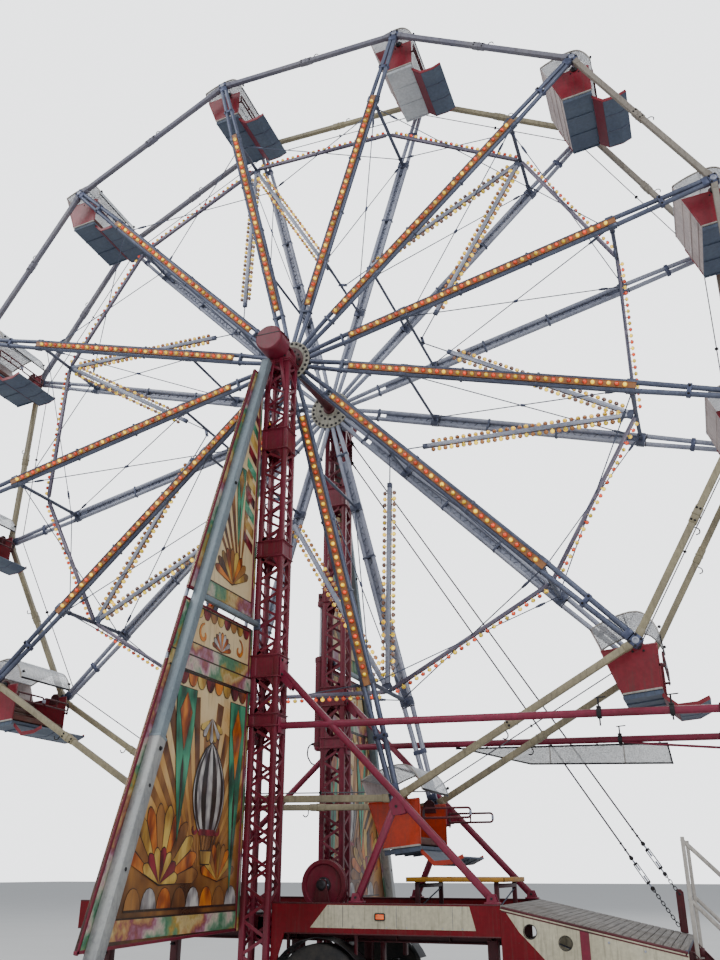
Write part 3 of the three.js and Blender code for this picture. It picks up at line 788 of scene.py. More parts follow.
def hub_body():
    yield tube((0, -1.115, HUB), (0, 1.115, HUB), 0.108, DEEP_RED, 24)
    for side in (-1, 1):
        for face in (-1, 1):
            y = side * (SPOKE_PLANE + face * 0.0253)
            out = (0, side * face, 0)
            disc = [(0.293, 0), (0.298, 0.003), (0.298, 0.012), (0.29, 0.015), (0.215, 0.015), (0.21, 0.01),
                (0.105, 0.01), (0.098, 0.02), (0.06, 0.024)]
            yield turned(disc, (0, y, HUB), out, HUB_GREY, 32)
            for radius, rise, count, first, size in ((0.262, 0.015, 24, FIRST + radians(7.5), 0.028),
                    (0.155, 0.009, 12, 0, 0.03)):
                turns = [first + 2 * pi * k / count for k in range(count)]
                heads = [(radius * sin(turn), y + side * face * rise, HUB + radius * cos(turn))
                    for turn in turns]
                yield from bolts(heads, out, size)
        sleeve = [(0.058, 0), (0.084, 0.004), (0.084, 0.04), (0.076, 0.046), (0.058, 0.048)]
        yield turned(sleeve, (0, side * 0.676, HUB), (0, -side, 0), DEEP_RED, 24)
        yield turned([(0.06, 0), (0.084, 0), (0.084, 0.05), (0.075, 0.058)], (0, side * 0.8, HUB),
            (0, side, 0), STEEL_DARK, 24)
    cover = [(0.207, 0.008), (0.207, 0.0125), (0.106, 0.0125), (0.1, 0.022), (0.062, 0.026)]
    yield turned(cover, (0, -SPOKE_PLANE - 0.0253, HUB), (0, -1, 0), DEEP_RED, 32)
    yield block((0.15, 0.765, HUB - 0.31), (0.3, 0.86, HUB - 0.13), GALV, 0.008, 2)
    yield block((0.11, 0.7503, HUB - 0.28), (0.18, 0.775, HUB - 0.12), GALV)


place(joined("hub_body", hub_body()), "wheel", "galvanised", "hub")


# Lamp star: channels with caps on stems along both edges, hung between the odd knees and the inner bars

def star_leg_unit(hand):
    head = Vector((0, 0, KNEE - 0.034))
    turn = radians(30 * hand)
    foot = Vector((sin(turn) * INNER, 0, cos(turn) * INNER))
    along = foot - head
    end = head + along * 0.845
    side = Vector(ACROSS).cross(along).normalized()
    run = along.normalized()
    top = head + run * 0.07
    yield beam(top, end, 0.05, 0.04, side, STAR_GREY, 0.003)
    for face in (-1, 1):
        shift = Vector((0, face * 0.0195, 0))
        yield beam(top + shift, end + shift, 0.056, 0.005, side, GALV, 0.001)
    yield beam(end - run * 0.02, foot - run * 0.03, 0.014, 0.014, side, GALV_DARK)
    yield beam(end - run * 0.04, end + run * 0.03, 0.062, 0.046, side, GALV_DARK, 0.004)
    count = 30
    step = (end - top) * (0.95 / count)
    for face in (-1, 1):
        start = top + step * 1.2 + side * (face * 0.024)
        yield from lamp_row(start, step, count, side * face, 1.1, 0.026,
            LAMP_DIM if hand > 0 else LAMP_BROWN)


def star_centre_unit():
    """Foot lug on an even inner bar."""
    z = INNER + 0.022
    outline = [(-0.075, -0.008, z), (0.075, -0.008, z), (0.06, -0.008, z + 0.042),
        (-0.06, -0.008, z + 0.042)]
    lug = plate(outline, (0, 0.016, 0), GALV_DARK, 0.002)
    return [lug, *bolts([(x, -0.008, z + 0.02) for x in (-0.04, 0.04)], (0, -1, 0), 0.018)]


def star_head_unit():
    outline = [(-0.07, -0.007, KNEE - 0.03), (-0.045, -0.007, KNEE - 0.16), (0.045, -0.007, KNEE - 0.16),
        (0.07, -0.007, KNEE - 0.03)]
    return [plate(outline, (0, 0.014, 0), GALV_DARK, 0.002)]


odd, even = range(1, BAYS, 2), range(0, BAYS, 2)
star_legs = [*star_leg_unit(-1), *star_leg_unit(1), *star_head_unit()]
star = [around("leg pair", joined("leg unit", star_legs), 0, odd),
    around("lugs", joined("lug unit", star_centre_unit()), 0, even)]
place(joined("lamp_star", star), "wheel", "dark_steel", "light_star")


# Cross bracing: bars between the two sides, crossed rods with turnbuckles, and the lamp strips between knees

def turnbuckle(spot, along, material=GALV_DARK):
    profile = [(0.01, -0.065), (0.015, -0.06), (0.015, -0.035), (0.018, -0.03), (0.018, 0.03),
        (0.015, 0.035), (0.015, 0.06), (0.01, 0.065)]
    return turned(profile, spot, along, material, 8)


def tie_rod(start, end, material=GALV_DARK):
    start, end = Vector(start), Vector(end)
    along = (end - start).normalized()
    return [tube(start, end, 0.015, material, 6), turnbuckle(start + along * 0.28, along)]


def bracing_unit():
    yield tube((0, -0.698, KNEE), (0, 0.698, KNEE), 0.052, GALV_DARK, 12, 0.005)
    yield tube((0, -0.74, INNER), (0, 0.74, INNER), 0.038, GALV_DARK, 12, 0.004)
    for face in (-1, 1):
        for spot, r in (((0, face * 0.692, KNEE), 0.042), ((0, face * 0.56, KNEE), 0.034),
                ((0, face * 0.69, INNER), 0.03)):
            yield collar(r * 0.6, r, 0.012, spot, ACROSS, GALV_BLUE, 12)
        yield from tie_rod((face * 0.006, face * 0.65, KNEE), (face * 0.006, -face * 0.65, INNER))
        turn = Matrix.Rotation(radians(30), 4, "Y")
        end = turn @ Vector((0, -face * 0.56, KNEE))
        yield from tie_rod((0, face * 0.56, KNEE + face * 0.007), end + Vector((0, 0, face * 0.007)))
    middle = (INNER + KNEE) / 2
    yield cube((0, 0, middle), (0.012, 0.022, 0.03), GALV_BLUE, 0.004)


def strip_unit():
    """Lamp strip between two knees, with one row of caps outward."""
    mid = KNEE * cos(radians(15))
    reach = KNEE * sin(radians(15)) - 0.05
    yield cube((0, 0, mid), (reach, 0.021, 0.012), STAR_GREY)
    for face in (-1, 1):
        yield cube((0, face * 0.02, mid), (reach, 0.002, 0.022), STAR_GREY, 0.001)
    for hand in (-1, 1):
        yield cube((hand * (reach + 0.0175), 0, mid), (0.0275, 0.006, 0.02), GALV_DARK, 0.002)
    yield from lamp_row((-reach + 0.06, 0, mid + 0.012), (LAMP_PITCH, 0, 0), 24, UP, 1, 0.03)


bracing = [around("bars and rods", joined("bracing unit", bracing_unit())),
    around("strips", joined("strip unit", strip_unit()), 15)]
place(joined("bars_rods_and_strips", bracing), "wheel", "galvanised", "cross_bracing")


def drive_rope():
    mid = 5.52 * cos(radians(15))
    reach = 5.52 * sin(radians(15)) + 0.002
    rope = tube((-reach, 0.758, mid), (reach, 0.758, mid), 0.015, ROPE, 8)
    groove = [(0.012, -0.01), (0.026, -0.008), (0.014, 0), (0.026, 0.008), (0.012, 0.01)]
    guide = turned(groove, (0, 0.758, mid), AHEAD, STEEL_DARK, 10)
    return around("drive_rope", joined("rope unit", [rope, guide]), 15)


place(drive_rope(), "wheel", "cable", "drive_cable")


# Cars, modelled about the hanging pin and copied to the twelve eyes

CAR_HALF, BAR_HALF = 0.52, 0.504
HOOD_LINE = [(-0.462, 0.208), (-0.38, 0.252), (-0.29, 0.292), (-0.2, 0.325), (-0.11, 0.35), (-0.04, 0.362),
    (0.028, 0.362), (0.075, 0.348), (0.112, 0.324), (0.155, 0.277), (0.19, 0.224), (0.218, 0.16),
    (0.233, 0.095)]
SIDE_PANEL = [(-0.205, -0.485), (0.19, -0.442), (0.19, 0.005), (-0.37, -0.035)]
CHEEK = [(-0.37, -0.035), (0.19, 0.005), (0.233, 0.095)] + HOOD_LINE[-2::-1]
TRAY = [(0.176, -0.49), (0.318, -0.622), (0.5, -0.608), (0.622, -0.556), (0.63, -0.572), (0.504, -0.626),
    (0.312, -0.642), (0.19, -0.53)]


def shell(line, y0, y1, thick, material):
    """Sheet drawn through a line of stations and given its thickness."""
    clear()
    bpy.ops.mesh.primitive_grid_add(x_subdivisions=len(line) - 1, y_subdivisions=1, size=1)
    piece = settle(material)
    half = len(line)
    for k, vertex in enumerate(piece.data.vertices):
        x, z = line[k % half]
        vertex.co = (x, y0 if k < half else y1, z)
    apply(piece, "SOLIDIFY", thickness=thick, offset=-1, use_even_offset=True)
    edit()
    outward()
    leave()
    soften(40)
    return piece


def pierced(outline, y, thick, material, pitch=0.033, web=0.0085):
    """Perforated sheet: a grid with each cell inset and opened, trimmed to the outline."""
    clear()
    xs = [x for x, _ in outline]
    zs = [z for _, z in outline]
    wide, tall = max(xs) - min(xs), max(zs) - min(zs)
    centre = ((max(xs) + min(xs)) / 2, y, (max(zs) + min(zs)) / 2)
    bpy.ops.mesh.primitive_grid_add(x_subdivisions=round(wide / pitch), y_subdivisions=round(tall / pitch),
        size=1, location=centre, rotation=(radians(90), 0, 0), scale=(wide, tall, 1))
    piece = settle(material)
    edit()
    bpy.ops.mesh.inset(thickness=web, use_individual=True)
    bpy.ops.mesh.delete(type="FACE")
    for a, b in zip(outline, outline[1:] + outline[:1]):
        edge = Vector((b[0] - a[0], 0, b[1] - a[1]))
        normal = edge.cross(Vector(ACROSS)).normalized()
        bpy.ops.mesh.select_all(action="SELECT")
        bpy.ops.mesh.bisect(plane_co=(a[0], y, a[1]), plane_no=normal, clear_inner=False, clear_outer=True)
    leave()
    apply(piece, "SOLIDIFY", thickness=thick, offset=0)
    return piece


def car_side(side, side_paint, mesh_paint):
    outer = side * CAR_HALF
    inner = outer - side * 0.014
    y0, y1 = sorted((outer - side * 0.002, inner))
    yield flat_xz(SIDE_PANEL, y0, y1, side_paint, 0.0015)
    lip0, lip1 = sorted((outer, inner - side * 0.004))
    lip = (lip0 + lip1) / 2
    yield flat_xz([(-0.212, -0.497), (0.192, -0.454), (0.192, -0.436), (-0.207, -0.479)], lip0, lip1,
        WHITE_STRIP, 0.001)
    for a, b in (((-0.205, -0.485), (-0.372, -0.035)), ((0.19, -0.442), (0.19, 0.005))):
        yield strut(a, b, lip, 0.016, 0.018, AHEAD, side_paint)
    yield strut((-0.372, -0.035), (0.192, 0.005), lip, 0.02, 0.019, UP, side_paint)
    yield pierced(CHEEK, outer - side * 0.006, 0.002, mesh_paint)
    rim_line = [(x * 0.98, z * 0.98) for x, z in HOOD_LINE]
    for a, b in zip(rim_line, rim_line[1:]):
        yield strut(a, b, outer - side * 0.007, 0.02, 0.012, ACROSS, WHITE_STRIP, 0)
    hanger = [(-0.085, -0.085), (0.085, -0.085), (0.06, 0.03), (0.025, 0.06), (-0.025, 0.06), (-0.06, 0.03)]
    h0, h1 = sorted((outer - side * 0.003, inner - side * 0.01))
    yield flat_xz(hanger, h0, h1, DEEP_RED, 0.002)
    yield tube((0, side * 0.5, 0), (0, side * 0.75, 0), 0.0352, GALV, 16)
    yield turned([(0.03, 0), (0.046, 0), (0.046, 0.022), (0.03, 0.034), (0.024, 0.05)],
        (0, outer - side * 0.002, 0), (0, side, 0), STEEL_DARK)
    yield from bolts([(x, outer - side * 0.002, z) for x, z in ((-0.055, -0.062), (0.055, -0.062))],
        (0, side, 0), 0.018)
    hinge = side * 0.513
    yield rail(0.184, 0.25, hinge, 0.007, -0.231, -0.2055, DEEP_RED, 0.002)
    yield turned([(0.006, 0), (0.009, 0.002), (0.009, 0.014)], (0.236, hinge, -0.245), UP, STEEL_DARK, 8)
    knob = (0.236, side * 0.47, 0.18)
    yield turned([(0.006, -0.02), (0.006, 0), (0.014, 0.004), (0.019, 0.014), (0.014, 0.026),
        (0.005, 0.03)], knob, (0, side, 0), STEEL_DARK, 10)


def car_unit(side_paint, mesh_paint, base_paint):
    for side in (-1, 1):
        yield from car_side(side, side_paint, mesh_paint)
    yield shell(HOOD_LINE, -BAR_HALF, BAR_HALF, 0.006, HOOD)
    for x, z, material in ((0.231, 0.1, STEEL_DARK), (-0.458, 0.205, mesh_paint), (-0.11, 0.343, HOOD)):
        yield crossbar(x, z, BAR_HALF, 0.024, 0.01, UP, material)
    yield shell([(-0.205, -0.485), (-0.37, -0.035)], -BAR_HALF, BAR_HALF, 0.01, CAR_PALE)
    yield shell([(-0.372, -0.035), (-0.417, 0.087), (-0.462, 0.208)], -BAR_HALF, BAR_HALF, 0.008, CAR_PALE)
    lean = Vector((-0.165, 0, 0.45)).normalized()
    for reach in (0.1, 0.3):
        spot = Vector((-0.205, 0, -0.485)) + lean * reach
        wide = 0.045 if reach > 0.2 else 0.02
        yield crossbar(spot.x - 0.005, spot.z, 0.5, wide, 0.006, lean, CAR_PALE, 0.001)
    for z in (-0.02, 0.19):
        x = -0.362 - (z + 0.035) * 0.379
        yield crossbar(x - 0.004, z, BAR_HALF, 0.022, 0.014, UP, CAR_PALE)
    base = [(-0.205, -0.535), (0.19, -0.49), (0.19, -0.455), (-0.205, -0.5)]
    yield flat_xz(base, -0.505, 0.505, base_paint, 0.002)
    for y in (-0.495, -0.166, 0.166, 0.495):
        yield flat_xz([(-0.2, -0.549), (0.185, -0.505), (0.185, -0.489), (-0.2, -0.533)], y - 0.01,
            y + 0.01, base_paint, 0.001)
    seat = [(-0.19, -0.47), (0.186, -0.44), (0.18, -0.376), (0.15, -0.372), (-0.15, -0.404),
        (-0.215, -0.384), (-0.222, -0.4)]
    yield flat_xz(seat, -0.503, 0.503, SEAT_WOOD, 0.006)
    for k in range(5):
        x = -0.12 + 0.06 * k
        z = -0.4015 + (x + 0.15) * 0.1067
        yield post(x, 0, 0.024, 0.49, z - 0.004, z + 0.008, SEAT_WOOD)
    for k in range(5):
        spot = Vector((-0.214, 0, -0.44)) + lean * (0.1 + 0.075 * k)
        yield crossbar(spot.x + 0.014, spot.z, 0.49, 0.062, 0.012, lean, SEAT_WOOD, 0.003)
    yield flat_xz(TRAY, -0.448, 0.448, SLATE, 0.002)
    riser = [(0.188, -0.532), (0.31, -0.644), (0.3075, -0.6463), (0.1858, -0.5345)]
    yield flat_xz(riser, -0.436, 0.436, MAST_RED)
    for face in (-1, 1):
        a, b = sorted((face * 0.45, face * 0.44))
        lip = [(0.17, -0.47), (0.316, -0.6), (0.5, -0.586), (0.618, -0.535), (0.63, -0.572),
            (0.504, -0.632), (0.31, -0.648), (0.176, -0.526)]
        yield flat_xz(lip, a, b, side_paint, 0.001)
    for y in (-0.15, 0.15):
        for a, b in (((0.196, -0.533), (0.314, -0.641)), ((0.318, -0.641), (0.502, -0.626)),
                ((0.506, -0.626), (0.624, -0.577))):
            yield strut(a, b, y, 0.018, 0.01, ACROSS, GALV_DARK, 0.001)
    for x, z in ((0.33, -0.617), (0.4, -0.611), (0.47, -0.606)):
        yield post(x, 0, 0.01, 0.42, z - 0.004, z + 0.006, RUBBER, 0.002)


def gate_unit(side):
    """Half gate about its hinge line: two rails bent into one loop, a middle stay, and a latch."""
    y0, y1 = side * 0.01, -side * 0.5
    low, top = -0.0475, 0.0475
    loop = [(0, y0, low), (0, y1, low), (0, y1, top), (0, y0, top)]
    made = [bent(loop, 0.024, DEEP_RED, 0.03, True, 3)]
    middle = (y0 + y1) / 2
    made.append(tube((0, middle, low), (0, middle, top), 0.018, DEEP_RED, 10))
    made.append(tube((0, 0, low - 0.012), (0, 0, top + 0.012), 0.02, STEEL_DARK, 10))
    made.append(cube((0, y1, 0), (0.012, 0.012, 0.025), GALV))
    return joined("gate unit", made)


finishes = {"common": (CAR_RED, MESH_PALE, SLATE), "pale": (CAR_RED, MESH_PALE, PALE_FLOOR),
    "dark": (CAR_RED, MESH_DARK, SLATE), "orange": (CAR_ORANGE, MESH_DARK, SLATE)}
units = {kind: joined("car unit", car_unit(*paints)) for kind, paints in finishes.items()}
gates = {side: gate_unit(side) for _, side in SIDES}
for bay in range(BAYS):
    angle = FIRST + radians(30 * bay)
    pin = Vector((RIM * sin(angle), 0, HUB + RIM * cos(angle)))
    kind = {0: "pale", 4: "dark", 5: "orange"}.get(bay, "common")
    number = bay + 1
    car = copy_of(units[kind], Matrix.Translation(pin))
    car.name = "car_%d_body_and_hood" % number
    place(car, "car_%d_body" % number, "car_red", "car_%d" % number)
    for name, side in SIDES:
        turn = Matrix.Rotation(radians(90 * side) if bay == 5 else 0, 4, "Z")
        spot = Matrix.Translation(pin + Vector((0.236, side * 0.513, -0.1425))) @ turn
        gate = copy_of(gates[side], spot)
        gate.name = "car_%d_%s_gate_rails" % (number, name)
        place(gate, "car_%d_%s_gate_body" % (number, name), "gate_red", "car_%d_%s_gate" % (number, name))
discard(*units.values(), *gates.values())


# Masts: four chords, laced faces, box bands with corner gussets, bearing head and drum

BANDS = [(0.02, 0.22), (3.04, 3.18), (3.57, 3.82), (4.97, 5.17), (6.36, 6.65),
    (HEAD_BASE - 0.04, HEAD_BASE)]
HALF_X, HALF_Y = 0.162, 0.1345
ANGLE, LACING = 0.058, 0.31
CHORD_X, CHORD_Y = HALF_X - ANGLE / 2, HALF_Y - ANGLE / 2


def lacing_unit():
    """One V of flat-bar lacing on all four faces, about the mast's own axis."""
    made = []
    for turn in range(4):
        wide, out = (CHORD_Y, HALF_X) if turn % 2 else (CHORD_X, HALF_Y)
        axes = Matrix.Rotation(radians(90 * turn), 4, "Z")
        for k, hand in ((0, 1), (1, -1)):
            if turn % 2:
                hand = -hand
            a = Vector((-hand * wide, 0.008 - out, LACING * k / 2))
            b = Vector((hand * wide, 0.008 - out, LACING * (k + 1) / 2))
            bar = beam(a, b, 0.031, 0.008, UP, MAST_RED, 0)
            bar.data.transform(axes)
            made.append(bar)
    return joined("lacing unit", made)


def gusset_unit():
    """Eight corner plates that hang under a band."""
    made = []
    for turn in range(4):
        wide, out = (CHORD_Y, HALF_X) if turn % 2 else (CHORD_X, HALF_Y)
        wide, out = wide - ANGLE / 2, out - 0.004
        axes = Matrix.Rotation(radians(90 * turn), 4, "Z")
        for hand in (-1, 1):
            corner = [(hand * wide, 0), (hand * wide * 0.15, 0), (hand * wide * 0.45, -0.025),
                (hand * wide * 0.78, -0.07), (hand * wide, -0.14)]
            piece = plate([(x, -out, z) for x, z in corner], (0, 0.006, 0), MAST_RED)
            piece.data.transform(axes)
            made.append(piece)
    return joined("gusset unit", made)


def band(z0, z1):
    """Box band with sunk faces and a flange at each end."""
    body = block((-HALF_X - 0.003, -HALF_Y - 0.003, z0 + 0.002),
        (HALF_X + 0.003, HALF_Y + 0.003, z1 - 0.002), MAST_RED, 0)
    if z1 - z0 > 0.1:
        edit()
        pick(body, lambda face: abs(face.normal.z) < 0.5)
        bpy.ops.mesh.inset(thickness=0.022, use_individual=True)
        bpy.ops.mesh.inset(thickness=0.004, depth=-0.007, use_individual=True)
        leave()
    made = [body]
    for z in (z0 + 0.006, z1 - 0.006):
        made.append(block((-HALF_X - 0.016, -HALF_Y - 0.016, z - 0.006),
            (HALF_X + 0.016, HALF_Y + 0.016, z + 0.006), MAST_RED, 0.002))
    spots = [(x, y, z1) for x in (-HALF_X - 0.001, HALF_X + 0.001) for y in (-0.05, 0.05)]
    return made + bolts(spots, UP, 0.018)


def mast_head(cy):
    """Bearing box between two shaped cheeks, with its cap, bolts and the round cover on the outer face."""
    yield rail(-0.128, 0.148, cy, 0.118, HEAD_BASE, HUB - 0.055, MAST_RED, 0.004)
    cheek = [(-0.13, HEAD_BASE), (0.15, HEAD_BASE), (0.15, HUB - 0.02), (0.105, HUB + 0.09),
        (0.06, HUB + 0.13), (-0.04, HUB + 0.13), (-0.085, HUB + 0.09), (-0.13, HUB - 0.02)]
    for face in (-1, 1):
        y = cy + face * 0.12
        yield plate([(x, y, z) for x, z in cheek], (0, face * 0.0145, 0), MAST_RED, 0.003)
        yield turned([(0.085, 0), (0.092, 0.004), (0.092, 0.012), (0.06, 0.016)],
            (0, y + face * 0.0145, HUB), (0, face, 0), DEEP_RED, 24)
        yield from bolts([(x, y + face * 0.0145, HUB + z) for x in (-0.1, 0.118) for z in (-0.15, -0.04)],
            (0, face, 0), 0.022)
    yield collar(0.088, 0.096, 0.105, (0, cy, HUB), ACROSS, DEEP_RED, 24, 0.005)
    yield rail(-0.07, 0.09, cy, 0.118, HUB + 0.088, HUB + 0.112, MAST_RED, 0.004)
    yield from bolts([(x, cy + y, HUB + 0.112) for x in (-0.045, 0.065) for y in (-0.08, 0.08)], UP, 0.026)
    start = cy - 0.13
    cover = [(0.176, 0), (0.183, 0.006), (0.183, 0.215), (0.181, 0.244), (0.172, 0.26), (0.162, 0.266),
        (0.02, 0.268)]
    yield turned(cover, (0, start, HUB), (0, -1, 0), MAST_RED, 32, 30)
    yield block((-0.19, start - 0.255, HUB + 0.046), (0.19, start - 0.01, HUB + 0.058), DEEP_RED)
    yield block((-0.16, start - 0.2698, HUB + 0.046), (0.16, start - 0.262, HUB + 0.058), STEEL_DARK, 0)
    for x in (-0.186, 0.186):
        yield from bolts([(x, cy - y, HUB + 0.058) for y in (0.17, 0.24, 0.31)], UP, 0.014)
    for hand in (-1, 1):
        yield beam((MAST_X + hand * 0.112, cy - 0.136, HEAD_BASE - 0.46),
            (MAST_X + hand * 0.05, cy - 0.15, HEAD_BASE + 0.01), 0.045, 0.012, AHEAD, MAST_RED)


def mast():
    cy = -MAST_Y
    spot = Matrix.Translation((MAST_X, cy, 0))
    column = []
    for sx in (-1, 1):
        for sy in (-1, 1):
            x, y, half = sx * CHORD_X, sy * CHORD_Y, ANGLE / 2
            column.append(post(x, y, half, half, 0.01, HEAD_BASE, MAST_RED, 0.004))
    for z0, z1 in BANDS:
        column += band(z0, z1)
    unit, gusset = lacing_unit(), gusset_unit()
    for (_, z0), (z1, _) in zip(BANDS, BANDS[1:]):
        count = max(1, round((z1 - z0) / LACING))
        stretch = (z1 - z0) / count / LACING
        bay = copy_of(unit, Matrix.Translation((0, 0, z0)) @ Matrix.Diagonal((1, 1, stretch, 1)))
        column.append(row(bay, (0, 0, LACING * stretch), count))
        column.append(copy_of(gusset, Matrix.Translation((0, 0, z1))))
        column.append(copy_of(gusset, Matrix.Translation((0, 0, z0)) @ Matrix.Diagonal((1, 1, -1, 1))))
    discard(unit, gusset)
    for piece in column:
        piece.data.transform(spot)
    column += mast_head(cy)
    column.append(post(MAST_X, cy, 0.2, 0.175, 0, 0.02, DEEP_RED))
    corners = [(MAST_X + x, cy + y, 0.02) for x in (-0.182, 0.182) for y in (-0.157, 0.157)]
    column += bolts(corners, UP, 0.026)
    return column


def both_sides(pieces, slot, label, node_label):
    """Joins and places a near-side piece, and its mirror image on the far side."""
    near = joined("near" + label, pieces)
    far = copy_of(near, Matrix.Diagonal((1, -1, 1, 1)))
    for name, made in (("near", near), ("far", far)):
        made.name = made.data.name = name + label
        place(made, "structure", slot, name + node_label)


both_sides(mast(), "red_paint", "_mast_column", "_mast")


def raising_ram():
    """Hydraulic ram on the far mast: casing, bright rod, clevis, port and hose loop."""
    x, y = -0.208, MAST_Y
    yield turned([(0.045, 3.03), (0.066, 3.05), (0.07, 3.07), (0.07, 4.17), (0.078, 4.18), (0.078, 4.235),
        (0.06, 4.25), (0.03, 4.25)], (x, y, 0), UP, MAST_RED, 24)
    yield turned([(0.0235, 4.24), (0.0235, 4.94), (0.02, 4.945)], (x, y, 0), UP, CHROME, 20)
    yield post(x, y, 0.045, 0.045, 4.94, 5.02, MAST_RED, 0.008, 2)
    for face in (-1, 1):
        yield rail(x - 0.04, x + 0.075, y + face * 0.03, 0.01, 4.99, 5.13, MAST_RED, 0.005)
    yield tube((x, y - 0.055, 5.08), (x, y + 0.055, 5.08), 0.03, STEEL_DARK)
    for z in (3.11, 3.7):
        yield collar(0.074, 0.079, 0.025, (x, y, z), UP, DEEP_RED, 24, 0.005)
        yield block((x + 0.05, y - 0.045, z - 0.022), (x + 0.082, y + 0.045, z + 0.022), DEEP_RED, 0.004)
    yield turned([(0.012, 0), (0.017, 0.004), (0.017, 0.03), (0.012, 0.034)], (x - 0.07, y - 0.01, 3.12),
        (-1, 0, 0), STEEL_DARK, 10)
    hose = [(-0.1, 3.12), (-0.15, 3.1), (-0.165, 2.98), (-0.1, 2.87), (-0.01, 2.85), (0.06, 2.93),
        (0.085, 2.99)]
    yield bent([(x + reach, y - 0.01, z) for reach, z in hose], 0.018, STEEL_DARK, 0.04)


place(joined("raising_ram", raising_ram()), "structure", "red_paint")


# Side legs: square section in two lengths with a sleeve, a strut to the mast and a foot pad

LEG_X = -0.095


def side_leg():
    top, foot = Vector((LEG_X, -1.2, 7.6)), Vector((LEG_X, -3.92, 0.06))

    def point(z):
        return top.lerp(foot, (7.6 - z) / 7.54)

    def length(z0, z1, low, high, deep, material, edge):
        a, b = point(z0), point(z1)
        half = (b - a).length / 2
        piece = block((low, -deep, -half), (high, deep, half), material, edge, 2)
        piece.data.transform(line_up(a, b, (1, 0, 0)))
        return piece

    yield length(0.06, 2.7, -0.055, 0.06, 0.06, LEG_PALE, 0.009)
    yield length(2.66, 7.6, -0.054, 0.05, 0.051, LEG_GREY, 0.008)
    yield length(2.69, 2.712, -0.055, 0.063, 0.063, LEG_GREY, 0.003)
    for z in (2.28, 1.62, 0.96):
        spot = point(z) + Vector((0.06, 0, 0))
        yield turned([(0.015, 0), (0.017, 0.001), (0.017, 0.002)], spot, AHEAD, STEEL_DARK, 10)
    for z in (2.6, 5.6):
        yield bolt(point(z) + Vector((0.06 if z < 3 else 0.05, 0, 0)), AHEAD, 0.03, STEEL_DARK)
    face = MAST_Y + HALF_Y + 0.0003
    yield block((LEG_X - 0.032, -1.2, 7.47), (LEG_X + 0.032, -face, 7.61), LEG_GREY, 0.005)
    yield from bolts([(LEG_X + 0.032, -1.17, z) for z in (7.5, 7.57)], AHEAD, 0.024)
    yield block((LEG_X - 0.028, point(4.17).y, 4.142), (LEG_X + 0.028, -face, 4.198), LEG_GREY, 0.005)
    yield block((LEG_X - 0.045, -face - 0.014, 4.11), (LEG_X + 0.045, -face, 4.23), GALV_DARK)
    y = -3.92
    yield post(LEG_X, y, 0.15, 0.15, 0, 0.02, GALV_DARK)
    for hand in (-1, 1):
        foot_plate = [(0.09 - y, 0.02), (-0.09 - y, 0.02), (-0.04 - y, 0.11), (0.04 - y, 0.11)]
        yield upright(foot_plate, LEG_X + hand * 0.034, hand * 0.012, GALV_DARK, 0.002)
    yield from bolts([(LEG_X + x, y + z, 0.02) for x in (-0.12, 0.12) for z in (-0.12, 0.12)], UP, 0.026)


both_sides(side_leg(), "galvanised", "_leg_steel", "_side_leg")


# Side boards: framed sheets with marbled borders and a painted fairground design

BOARD_FACE, BOARD_EDGE = -0.16, 1.165
BOARDS = [
    [(1.4, 7.39), (1.2, 7.39), (BOARD_EDGE, 4.22), (2.562, 4.22)],
    [(BOARD_EDGE, 4.12), (2.598, 4.12), (2.81, 3.52), (BOARD_EDGE, 3.52)],
    [(BOARD_EDGE, 3.45), (2.834, 3.45), (3.72, 1.03), (BOARD_EDGE, 1.06)],
]


def ramp(value, stops):
    """Colour ramp with evenly spaced stops."""
    made = node("ValToRGB", {0: value})
    line = made.color_ramp
    while len(line.elements) < len(stops):
        line.elements.new(0.5)
    for k, code in enumerate(stops):
        line.elements[k].position = k / (len(stops) - 1)
        line.elements[k].color = tone(code)
    return made.outputs[0]


def marbled():
    """Border finish: soft slanted veins in pale fairground colours under varnish."""
    material, spot = bare_material("marbled border")
    drift = noise(stretched(spot, (1, 1.2, 1.2)), 2.6, 4, 0.6)
    parts = node("SeparateXYZ", {0: spot}).outputs
    across = maths("ABSOLUTE", parts[1])
    phase = plus(times(across, 0.9), times(parts[2], 1.1))
    phase = plus(phase, times(drift, 1.5))
    vein = maths("FRACT", phase)
    colour = ramp(vein, ["c8b27c", "a98a3c", "6f8f66", "3f7a5c", "8aa088", "c9b9a8", "a8758a", "8c4a50",
        "b98a58", "c8b27c"])
    shade = between(noise(stretched(spot, (1, 9, 5)), 3, 5, 0.65), 0.3, 0.7, 0.68, 1.05)
    return finished(material, shaded(colour, shade), between(drift, 0.3, 0.7, 0.25, 0.45), shade, 0.1,
        0.001, Coat_Weight=0.35, Coat_Roughness=0.15)


def shaded_sheet():
    """Board ground: cream at the head of each board, browned towards its foot, with airy clouds."""
    material, spot = bare_material("shaded board ground")
    height = node("SeparateXYZ", {0: spot}).outputs[2]
    cloud = noise(stretched(spot, (1, 1.3, 0.8)), 1.9, 3, 0.5)
    level = plus(between(height, 1, 3.4), times(minus(cloud, 0.5), 1.1), clamp=True)
    colour = ramp(level, ["3e2718", "6e4520", "a06c2e", "c49452", "d3b27c", "dcc699"])
    runs = between(noise(stretched(spot, (1, 14, 1.1)), 2, 5, 0.65), 0.52, 0.75, 0, 0.5)
    colour = mixed(runs, colour, tone("5a4632"))
    return finished(material, colour, between(cloud, 0.3, 0.7, 0.24, 0.42), runs, 0.15, 0.001,
        Coat_Weight=0.4, Coat_Roughness=0.12)


